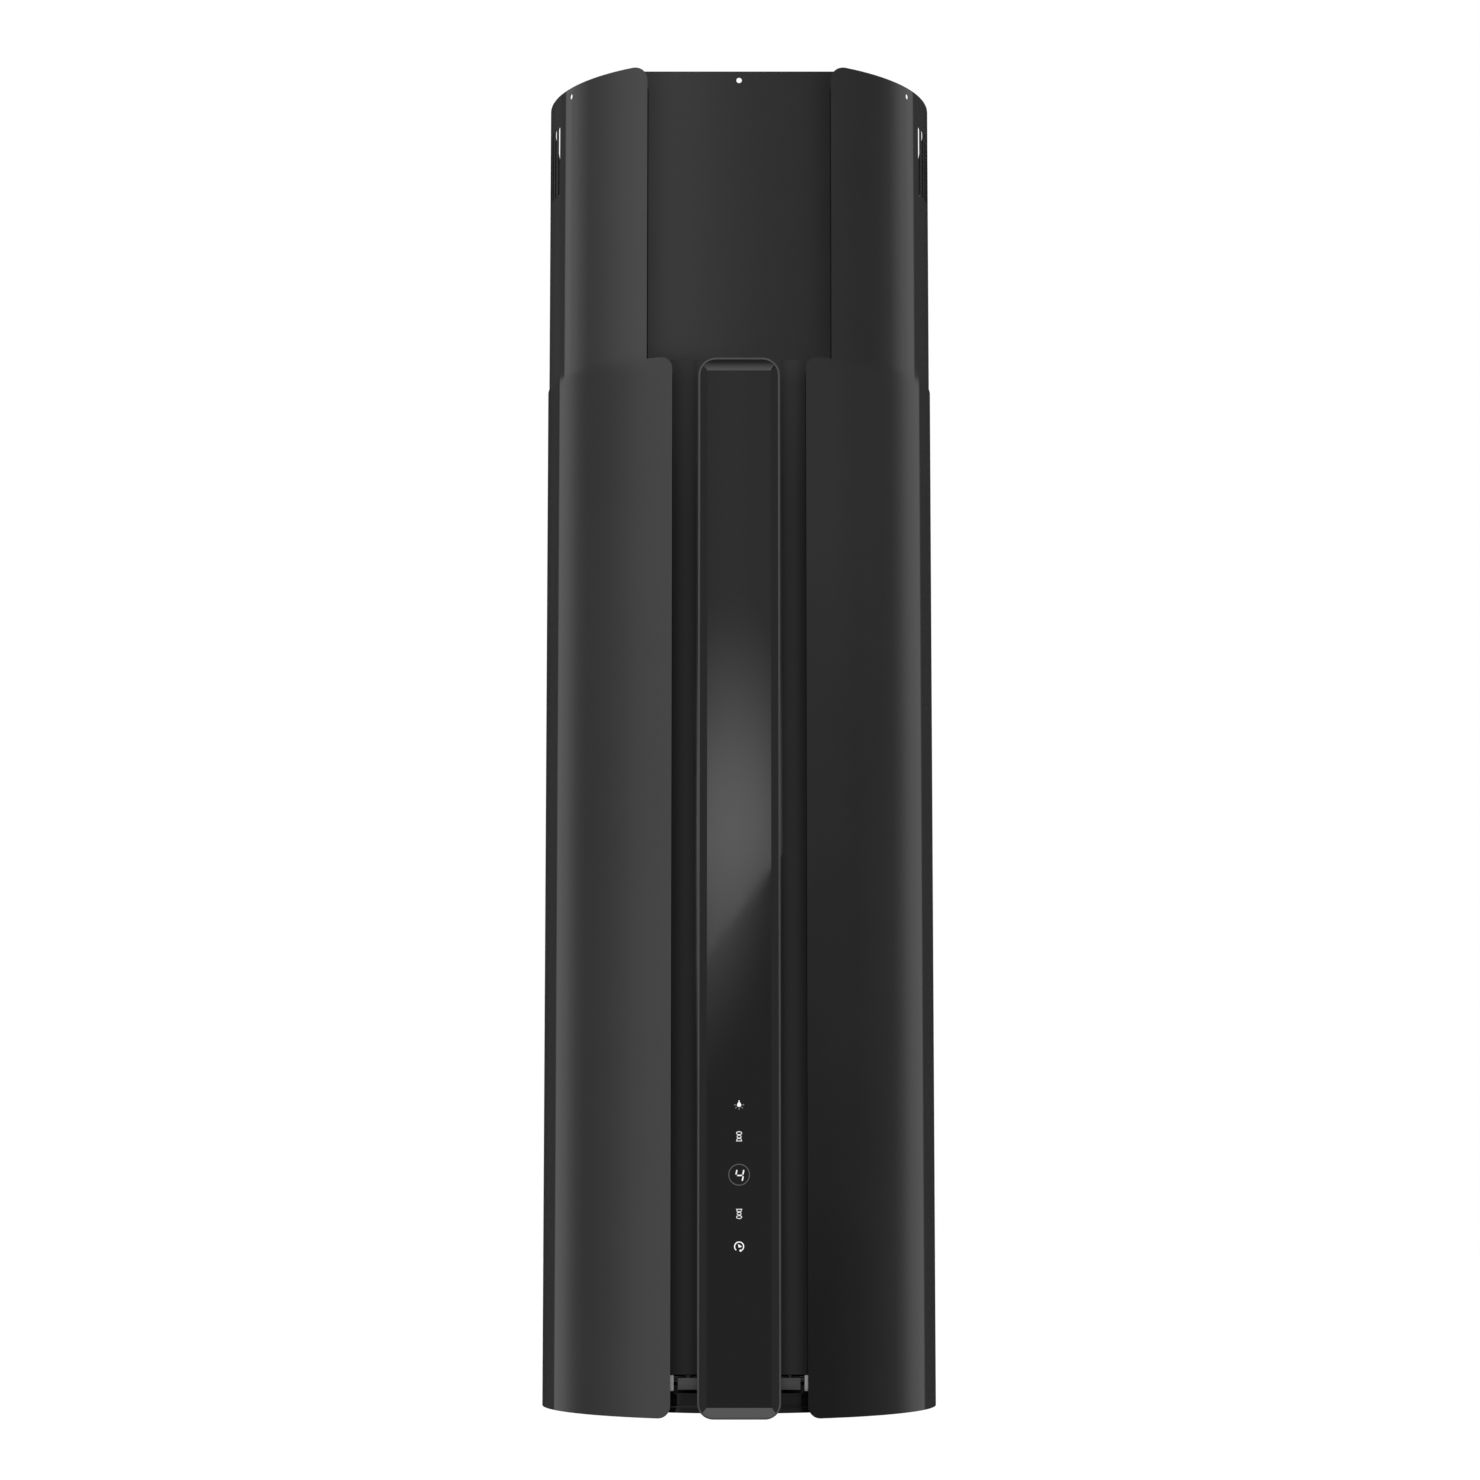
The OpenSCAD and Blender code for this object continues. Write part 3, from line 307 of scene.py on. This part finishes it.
def laminated(name, dark, light):
    """Stacked steel laminations: fine edge lines with rust bloom between them."""
    made, f = material(name)
    place = f.place()
    across = f.axes(place)[0]
    stack = (across * 9000.0).sine()
    bloom = f.noise(place, 80.0, 4.0, 0.6)
    base = f.colour((stack * 0.25 + bloom).clamped(), dark, light)
    f.surface(base=base, metal=0.8, rough=0.42 + bloom * 0.2,
              normal=f.relief(stack + bloom, 0.00006, 0.5))
    return made


def mesh_aluminium():
    """Layers of expanded aluminium mesh, crossed so that the diamonds interleave, with the deeper layer
    and the openings painted darker as painted shade.
    """
    made, f = material("expanded_aluminium_mesh")
    place = f.place()
    across, deep, _ = f.axes(place)
    layers = []
    fine, coarse, diamond = 0.0052, 0.0071, 0.62
    for lean, pitch, shift in ((1.0, fine, 0.0), (-1.0, fine, 0.5),
                               (0.55, coarse, 0.3), (-0.55, coarse, 0.8)):
        row = across * (1.0 / pitch) + deep * (lean / pitch * diamond) + shift
        layers.append((row.fraction() - 0.5).size().ramp(0.16, 0.36, 1.0, 0.0))
    near = layers[0].at_least(layers[1])
    far = layers[2].at_least(layers[3])
    # the far layer drawn at 0.55 and the dark openings are painted shade behind and between the layers
    cover_and_shade = near.at_least(far * 0.55)
    film = f.noise(place, 28.0, 3.0)
    base = f.colour((cover_and_shade * (0.75 + film * 0.25)).clamped(), (0.035, 0.036, 0.038), (0.66, 0.67, 0.68))
    f.surface(base=base, metal=cover_and_shade * 0.9, rough=0.34 + film * 0.16 + (1.0 - cover_and_shade) * 0.3,
              normal=f.relief(near + far * 0.5, 0.0009, 1.0))
    return made


def rubber():
    """Black moulded rubber with a fine grain and a grey bloom."""
    made, f = material("rubber")
    place = f.place()
    grain = f.noise(place, 900.0, 3.0, 0.7)
    bloom = f.noise(place, 30.0, 3.0)
    f.surface(base=f.colour(bloom, (0.012, 0.012, 0.012), (0.030, 0.029, 0.028)),
              rough=0.62 + bloom * 0.15, sheen=0.15, normal=f.relief(grain, 0.0001, 0.5))
    return made


def print_ink(name, dark, light, strength):
    """Back-lit print: a nearly even glow with the fine cloud of the ink."""
    made, f = material(name)
    place = f.place()
    cloud = f.noise(place, 700.0, 2.0)
    ink = f.colour(cloud.ramp(0.3, 0.7), dark, light)
    f.surface(base=ink, rough=0.30 + cloud * 0.1, glow=ink, glow_strength=strength,
              normal=f.relief(cloud, 0.00001, 0.2))
    return made


finishes = {
    "black_paint": paint("black_paint", (0.0082, 0.0082, 0.0083), (0.0100, 0.0100, 0.0102),
                         low=0.025, high=0.040, peel=0.002),
    # a darker, glossier copy of the black paint for the recessed channel: its darker colour is painted
    # shade
    "shaded_channel_paint": paint("shaded_channel_paint", (0.0072, 0.0072, 0.0073), (0.0090, 0.0090, 0.0092),
                           low=0.007, high=0.011, peel=0.0003),
    "gloss_black": paint("gloss_black", (0.0030, 0.0030, 0.0031), (0.0044, 0.0044, 0.0045),
                         low=0.05, high=0.08, peel=0.05, level=0.25),
    "zinc_steel": zinc("zinc_steel"),
    "satin_steel": brushed("satin_steel", (0.30, 0.30, 0.30), (0.47, 0.47, 0.47),
                           low=0.26, high=0.36, grain_scale=(90.0, 1600.0, 1600.0)),
    # a darker copy of the satin steel for the bracket in the bottom gap: its darker colour is painted
    # shade
    "shaded_bracket_steel": brushed("shaded_bracket_steel", (0.085, 0.085, 0.086), (0.135, 0.135, 0.136),
                             low=0.24, high=0.34, grain_scale=(90.0, 1600.0, 1600.0)),
    "trim_metal": brushed("trim_metal", (0.090, 0.090, 0.091), (0.140, 0.140, 0.141),
                          low=0.30, high=0.38, grain_scale=(1500.0, 1500.0, 60.0)),
    "black_glass": black_glass(),
    "black_plastic": moulded("black_plastic", (0.012, 0.012, 0.012), (0.026, 0.026, 0.026),
                             low=0.42, high=0.56),
    "grey_plastic": moulded("grey_plastic", (0.11, 0.115, 0.12), (0.18, 0.185, 0.19),
                            low=0.40, high=0.54),
    "white_plastic": moulded("white_plastic", (0.66, 0.65, 0.61), (0.80, 0.79, 0.75),
                             low=0.28, high=0.40, texture=2200.0, depth=0.00003),
    "circuit_board": circuit_board(),
    "display_face": display_face(),
    "light_guide": clear_acrylic("light_guide", (0.80, 0.81, 0.83), low=0.06, high=0.18),
    "bright_steel": brushed("bright_steel", (0.52, 0.52, 0.52), (0.72, 0.72, 0.72),
                            low=0.12, high=0.22, grain_scale=(2200.0, 300.0, 300.0)),
    "core_steel": laminated("core_steel", (0.10, 0.10, 0.105), (0.30, 0.295, 0.29)),
    "copper": winding(),
    "rubber": rubber(),
    "aluminium": brushed("aluminium", (0.50, 0.51, 0.52), (0.73, 0.74, 0.75),
                         low=0.24, high=0.34, grain_scale=(60.0, 1500.0, 1500.0)),
    "filter_mesh": mesh_aluminium(),
    "lamp_lens": lamp_lens(),
    "black_screw": brushed("black_screw", (0.018, 0.018, 0.018), (0.042, 0.042, 0.042),
                           low=0.30, high=0.42, grain_scale=(900.0, 900.0, 900.0), metal=0.6),
}
lit_print = print_ink("lit_print", (0.27, 0.27, 0.275), (0.33, 0.33, 0.335), strength=2.1)
faint_print = print_ink("faint_print", (0.13, 0.13, 0.132), (0.16, 0.16, 0.162), strength=1.2)
dim_print = print_ink("dim_print", (0.048, 0.048, 0.049), (0.062, 0.062, 0.063), strength=0.45)

# these two nodes share their slots with others but take darker copies of those finishes, painted shade
# where they sit back in the recess and the bottom gap
shaded_copy = {"front_channel": "shaded_channel_paint", "front_bracket": "shaded_bracket_steel"}
for part in frame["record"]["subparts"]:
    mesh = nodes[part["node"]].data
    mesh.materials.clear()
    mesh.materials.append(finishes[shaded_copy.get(part["node"], part["material_slot"])])


# ---------------------------------------------------------------- pieces

MM = 0.001


def piece_from(bm, name, finish):
    """Ends a bmesh as a piece of that name in one finish."""
    mesh = bpy.data.meshes.new(name)
    bm.to_mesh(mesh)
    bm.free()
    mesh.materials.append(finish)
    piece = bpy.data.objects.new(name, mesh)
    bpy.context.scene.collection.objects.link(piece)
    return piece


# ---------------------------------------------------------------- control glass

TOP_BEVEL = 11.3 * MM
BEVEL_DEPTH = 2.2 * MM
CROWN = 0.28 * MM
CROWN_STEPS = 12


def crowned_glass():
    """The control glass with its top bevel ground to a slight crown, which rolls its highlight."""
    bm = bmesh.new()
    bm.from_mesh(nodes["control_glass"].data)
    bmesh.ops.remove_doubles(bm, verts=bm.verts, dist=1e-6)
    low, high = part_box("control_glass")
    top = high.z
    for i in range(1, CROWN_STEPS):
        cut = top - TOP_BEVEL * i / CROWN_STEPS
        bmesh.ops.bisect_plane(bm, geom=bm.verts[:] + bm.edges[:] + bm.faces[:], dist=1e-7,
                               plane_co=(0.0, 0.0, cut), plane_no=(0.0, 0.0, 1.0))
    for v in bm.verts:
        along = (v.co.z - (top - TOP_BEVEL)) / TOP_BEVEL
        slope_y = low.y + BEVEL_DEPTH * along
        on_slope = abs(v.co.y - slope_y) < 0.02 * MM
        if 0.0 < along < 1.0 and on_slope:
            v.co.y -= CROWN * 4.0 * along * (1.0 - along)
    bmesh.ops.dissolve_degenerate(bm, edges=bm.edges, dist=1e-7)
    # only the crown is smooth, so the flat faces keep their sharp edges
    for face in bm.faces:
        middle, out = face.calc_center_median(), face.normal
        face.smooth = middle.z > top - TOP_BEVEL and out.y < -0.9 and 0.05 < out.z and abs(out.x) < 0.01
    for edge in bm.edges:
        edge.smooth = all(face.smooth for face in edge.link_faces)
    piece = piece_from(bm, "control_glass_crowned", finishes["black_glass"])
    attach(piece, "hood")
    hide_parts("control_glass")


crowned_glass()


# ---------------------------------------------------------------- printed keys

glass_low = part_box("control_glass")[0]
FACE_Y = glass_low.y
FOOT_Z = glass_low.z
PRINT = 0.12 * MM
# heights of the keys' middles above the glass's foot, in mm
LAMP, FAN_UP, SPEED, FAN_DOWN, TIMER = 292.0, 262.5, 226.4, 189.6, 159.2


def on_glass(x, z, turn=0.0, size=(1.0, 1.0)):
    """From a flat drawing in x and y to the glass face: x mm across, z mm above its foot."""
    return (Matrix.Translation((x * MM, FACE_Y, FOOT_Z + z * MM)) @ Matrix.Rotation(pi / 2, 4, "X")
            @ Matrix.Rotation(turn, 4, "Z") @ Matrix.Diagonal((size[0] * MM, size[1] * MM, 1.0, 1.0)))


def outline(bm, x, z, sides, size=(1.0, 1.0), turn=0.0):
    """A filled shape with that many even sides, as good as round when they are many."""
    return bmesh.ops.create_circle(bm, cap_ends=True, segments=sides, radius=1.0,
                                   matrix=on_glass(x, z, turn, size))["verts"]


def hollow(bm, corners, width):
    """Leaves a line of that width along the edge of a filled shape."""
    face = corners[0].link_faces[0]
    bmesh.ops.inset_region(bm, faces=[face], thickness=width * MM, use_even_offset=True,
                           use_boundary=True)
    bmesh.ops.delete(bm, geom=[face], context="FACES_ONLY")


def ring(bm, z, radius, width, squash=1.0, sides=48):
    hollow(bm, outline(bm, 0.0, z, sides, (radius, radius * squash)), width)


def bar(bm, x, z, length, width, turn=0.0):
    bmesh.ops.create_grid(bm, x_segments=1, y_segments=1, size=0.5,
                          matrix=on_glass(x, z, turn, (length, width)))


def printed(name, draw, finish):
    """A drawing laid on the glass as a raised print of its own thickness."""
    bm = bmesh.new()
    draw(bm)
    bmesh.ops.recalc_face_normals(bm, faces=bm.faces)
    for face in bm.faces:
        if face.normal.y > 0:
            face.normal_flip()
    bmesh.ops.translate(bm, vec=(0.0, -PRINT * 0.5, 0.0), verts=bm.verts)
    bmesh.ops.solidify(bm, geom=bm.faces, thickness=PRINT)
    bmesh.ops.recalc_face_normals(bm, faces=bm.faces)
    piece = piece_from(bm, name, finish)
    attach(piece, "hood")


def lamp_key(bm):
    """A bulb that narrows upwards into its neck."""
    radius, narrowing, stretch = 2.0, 0.66, 1.2
    for v in outline(bm, 0.0, LAMP, 40, (radius, radius)):
        rise = (v.co.z - FOOT_Z) / MM - LAMP
        if rise > 0:
            v.co.x *= 1.0 - narrowing * (rise / radius) ** 1.5
            v.co.z += stretch * MM * (rise / radius)
    bar(bm, 0.0, LAMP + 3.7, 1.0, 1.2)


def lamp_rays(bm):
    """Five short rays around the bulb, all but upwards."""
    reach = 3.9
    for turn in (0.0, 180.0, -42.0, -138.0, -90.0):
        a = radians(turn)
        bar(bm, reach * cos(a), LAMP + reach * sin(a), 1.4, 0.6, a)


def fan_key(bm, z, way):
    """A fan seen from the side: two rings on a foot, the big ring on the side that the key steps to."""
    ring(bm, z + way * 2.9, 2.75, 0.62, 0.62)
    ring(bm, z - way * 0.35, 2.2, 0.55, 0.68)
    foot_z, half_height, narrow, wide = z - way * 3.3, 1.45, 1.9, 2.85
    foot = outline(bm, 0.0, foot_z, 4, turn=pi / 4)
    for v in foot:
        side, rise = (1 if v.co.x > 0 else -1), (1 if v.co.z - FOOT_Z > foot_z * MM else -1)
        v.co.x = side * (narrow if rise * way > 0 else wide) * MM
        v.co.z = FOOT_Z + (foot_z + rise * half_height) * MM
    hollow(bm, foot, 0.58)


def fan_up_key(bm):
    fan_key(bm, FAN_UP, 1.0)


def fan_down_key(bm):
    fan_key(bm, FAN_DOWN, -1.0)


def speed_digit(bm):
    """A leaning seven-segment four."""
    lean = 0.21
    for x, z, length, upright in ((-2.5, 2.3, 4.3, True), (4.0, 2.3, 4.3, True), (0.6, -0.7, 4.9, False),
                                  (3.4, -3.6, 4.3, True)):
        bar(bm, x, SPEED + z, length, 1.2, pi / 2 - lean if upright else 0.0)


def speed_ring(bm):
    ring(bm, SPEED, 10.2, 0.85, 1.0, 96)


def timer_key(bm):
    """A dial open at the foot, a dot at the end of its run, and a wedge for the hand."""
    inside, outside, opening, sweep = 3.75, 4.75, 52.0, 282.0
    middle = Vector((0.0, FACE_Y, FOOT_Z + TIMER * MM))
    ends = [bm.verts.new(middle + Vector((r * MM, 0.0, 0.0))) for r in (inside, outside)]
    edge = bm.edges.new(ends)
    bmesh.ops.rotate(bm, cent=middle, matrix=Matrix.Rotation(radians(opening), 3, "Y"), verts=ends)
    bmesh.ops.spin(bm, geom=[edge], cent=middle, axis=(0.0, -1.0, 0.0), angle=radians(sweep), steps=48)
    outline(bm, 1.4, TIMER - 3.7, 24, (1.1, 1.1))
    wedge = outline(bm, 0.0, TIMER, 3)
    for v, (x, z) in zip(wedge, ((-1.0, 2.4), (-0.4, -1.1), (2.8, -0.1))):
        v.co.x, v.co.z = x * MM, FOOT_Z + (TIMER + z) * MM


for name, draw, finish in (("key_print_lamp", lamp_key, lit_print),
                           ("key_print_lamp_rays", lamp_rays, faint_print),
                           ("key_print_fan_up", fan_up_key, lit_print),
                           ("speed_digit", speed_digit, lit_print),
                           ("speed_ring", speed_ring, dim_print),
                           ("key_print_fan_down", fan_down_key, lit_print),
                           ("key_print_timer", timer_key, lit_print)):
    printed(name, draw, finish)


# ---------------------------------------------------------------- studio

RIM = -0.480            # height of the body's bottom rim
AXIS_Y = -0.195         # axis of the round front
CAMERA_BACK = 3.521     # from that axis
CAMERA_UP = 0.2646      # above the rim
TILT = radians(6.165)
TO_GLASS = 3.326        # from the camera to the glass face
FLOOR_DROP = 0.9        # from the rim down to the floor

data = bpy.data.cameras.new("camera")
data.lens, data.sensor_width, data.shift_y = 85.129, 36.0, 0.012
data.shift_x, data.clip_end = 0.0006, 100.0
camera = bpy.data.objects.new("camera", data)
camera.matrix_world = (Matrix.Translation((0.0, AXIS_Y - CAMERA_BACK, RIM + CAMERA_UP))
                       @ Matrix.Rotation(pi / 2 + TILT, 4, "X"))
bpy.context.scene.collection.objects.link(camera)
bpy.context.scene.camera = camera

pale_floor, f = material("pale_floor")
f.surface(base=f.colour(f.noise(f.place(), 3.0), (0.80, 0.80, 0.80), (0.82, 0.82, 0.82)),
          rough=0.9, level=0.0)
bm = bmesh.new()
bmesh.ops.create_grid(bm, x_segments=1, y_segments=1, size=30.0,
                      matrix=Matrix.Translation((0.0, 0.0, RIM - FLOOR_DROP)))
floor = piece_from(bm, "floor", pale_floor)
floor.visible_glossy = False


def around(stops):
    """Ramp stops from degrees away from the front."""
    return [(a / 180.0, (g / 2.0,) * 3) for a, g in stops]


def across_panel(stops, half):
    """Ramp stops from a place across the front panel, from -half to half."""
    return [((u / half + 1.0) / 2.0, (g / 2.0,) * 3) for u, g in stops]


# how bright the softboxes stand, by degrees away from the front
LEFT = [(36, .46), (39.5, 1.29), (54, 1.19), (62, 1.08), (73, .82), (83, .62), (93, .48), (103, .40),
        (111, .46), (117, .57), (123, .66), (131, .635), (136.5, .56), (137.9, .117), (144, .10),
        (150, .08), (159, .05), (170, .03), (180, .025)]
LOW_RIGHT = [(36, .46), (39.5, .055), (54, .06), (62, .09), (73, .12), (83, .17), (93, .21), (103, .26),
             (111, .42), (117, .57), (123, .625), (131, .57), (137.4, .50), (138.8, .110), (144, .09),
             (150, .07), (159, .05), (170, .03), (180, .025)]
HIGH_RIGHT = [(36, .46), (39.5, .53), (54, .52), (62, .475), (73, .39), (83, .37), (93, .32),
              (103, .31), (111, .46), (117, .60), (123, .65), (131, .58)] + LOW_RIGHT[12:]
UPPER_LEFT = [(0, .6), (60, 1.42), (73, 1.16), (83, .88), (93, .62), (103, .475), (111, .61),
              (117, .73), (125, .79), (130.5, .68), (132, .15), (143, .13), (151, .09), (159, .06),
              (170, .03), (180, .025)]
UPPER_RIGHT = [(0, .6), (60, .42), (73, .34), (83, .30), (93, .295), (103, .36), (111, .59),
               (117, .71), (125, .71), (131.4, .60), (133, .145), (143, .106), (151, .08), (159, .05),
               (170, .03), (180, .025)]
# and the front panels, by how far across they stand for each metre ahead
GAP = [(-.0205, .16), (-.0188, .16), (-.0179, .21), (-.0170, .28), (-.0161, .33), (-.0149, .345),
       (-.0137, .29), (-.0128, .20), (-.0122, .12), (.0122, .12), (.0128, .26), (.0137, .37),
       (.0149, .42), (.0161, .40), (.0170, .34), (.0179, .25), (.0188, .17), (.0205, .16)]
RECESS = [(-.0285, .48), (-.0261, .52), (-.0237, .77), (-.0208, .91), (-.0148, .84), (-.0089, .75),
          (-.003, .65), (.003, .58), (.0089, .52), (.0148, .49), (.0208, .465), (.0237, .35),
          (.0261, .18), (.0285, .16)]
GAP_REACH, GAP_HALF = 0.0205, 0.021
RECESS_REACH, RECESS_HALF = 0.0285, 0.03
GLASS_REACH = 0.0405
# the slanting edge of the tall panel that the flat glass mirrors, in metres on the glass
EDGE_UP, EDGE_SLOPE = 0.4757, 1.373
GLOW_MIDDLE, GLOW_HALF = -0.008, 0.028
# the bodies' top edge: how steeply it is seen at the front, its bend and the turn of its free ends
TOP_LEVEL, TOP_BEND, TOP_ENDS = 0.2254, 0.0072, 138.0
ROOM_LIGHT = 1.28
WHITE = (1.0, 1.0, 1.0, 1.0)


def studio():
    """Two tall softboxes at the sides with clean outer edges, and front panels, as the gloss sees them."""
    world = bpy.data.worlds.new("studio")
    world.use_nodes = True
    bpy.context.scene.world = world
    f = Finish(world.node_tree)
    east, north, up = f.axes(f.add("ShaderNodeTexCoord", out="Generated"))
    away = east.maths("ARCTAN2", east, -north).size() / pi
    level = up / (east * east + north * north).power(0.5)
    on_right = east > 0.0

    def brightness(stops, at):
        return f.axes(f.add("ShaderNodeValToRGB", {"stops": stops}, {0: at}))[0] * 2.0

    def pick(choice, no, yes):
        return f.add("ShaderNodeMix", {"data_type": "FLOAT"}, {0: choice, 2: no, 3: yes})

    low = brightness(around(LOW_RIGHT), away)
    high = brightness(around(HIGH_RIGHT), away)
    boxes = pick(on_right, brightness(around(LEFT), away),
                 low + (high - low) * level.ramp(-0.06, 0.20, smooth=False))
    chimney = pick(on_right, brightness(around(UPPER_LEFT), away), brightness(around(UPPER_RIGHT), away))
    # front panels, laid out by how far across they stand
    facing = north < 0.0
    slant = east / (-north)
    channel = brightness(across_panel(GAP, GAP_HALF), slant / (2.0 * GAP_HALF) + 0.5) \
        + level.ramp(0.17, 0.222, 0.0, 0.14) + level.ramp(0.217, 0.2245, 0.0, 0.12)
    recess = brightness(across_panel(RECESS, RECESS_HALF), slant / (2.0 * RECESS_HALF) + 0.5)
    # the tall panel in the flat glass: a glow above its slanting edge's foot, and its spill
    across = slant * TO_GLASS
    height = level * TO_GLASS + CAMERA_UP
    above = height - EDGE_UP - across * EDGE_SLOPE
    side = (across - GLOW_MIDDLE) / GLOW_HALF
    glow = height.ramp(0.545, 0.79, 2.42, 0.62).at_most(height.ramp(0.43, 0.56, 1.65, 2.42)) \
        * (1.0 - side * side * 0.15)
    spill = (above / 0.15 + 1.0).clamped()
    spill = spill * spill * 0.72 * across.ramp(-0.012, 0.036, 1.08, 0.15)
    panel = pick(above > 0.0, 0.33 + spill, glow.at_least(0.57))

    body = pick(facing * (slant.size() < GAP_REACH), boxes, channel)
    mirror = pick(facing * (across.size() < GLASS_REACH), body, panel)
    # the upper tubes stand in their own light, from the bodies' top edge upwards
    bend = away * (180.0 / TOP_ENDS)
    upper = pick(facing * (slant.size() < RECESS_REACH), chimney, recess)
    mirror = pick(level + bend * bend * TOP_BEND > TOP_LEVEL, mirror, upper)
    # a roof panel that fades upwards, and the lit floor in front
    ahead = facing * slant.size().ramp(0.10, 0.22, 1.0, 0.0)
    mirror = pick(ahead * level.ramp(0.33, 0.36), mirror, level.ramp(0.40, 0.90, 1.9, 0.30))
    mirror = pick(ahead * level.ramp(-0.40, -0.30, 1.0, 0.0), mirror, level.ramp(-1.4, -0.85, 0.75, 2.15))

    camera_ray, glossy_ray = (f.add("ShaderNodeLightPath", out=kind)
                              for kind in ("Is Camera Ray", "Is Glossy Ray"))
    soft, gloss, plain = (f.add("ShaderNodeBackground", None, {"Color": WHITE, "Strength": strength})
                          for strength in (ROOM_LIGHT, mirror, 1.0))
    seen = f.add("ShaderNodeMixShader", None, {0: glossy_ray, 1: soft, 2: gloss})
    seen = f.add("ShaderNodeMixShader", None, {0: camera_ray, 1: seen, 2: plain})
    f.add("ShaderNodeOutputWorld", None, {"Surface": seen})


studio()
scene = bpy.context.scene
scene.view_settings.view_transform = "Standard"
scene.view_settings.look = "None"
scene.view_settings.exposure = 0.0
scene.view_settings.gamma = 1.0
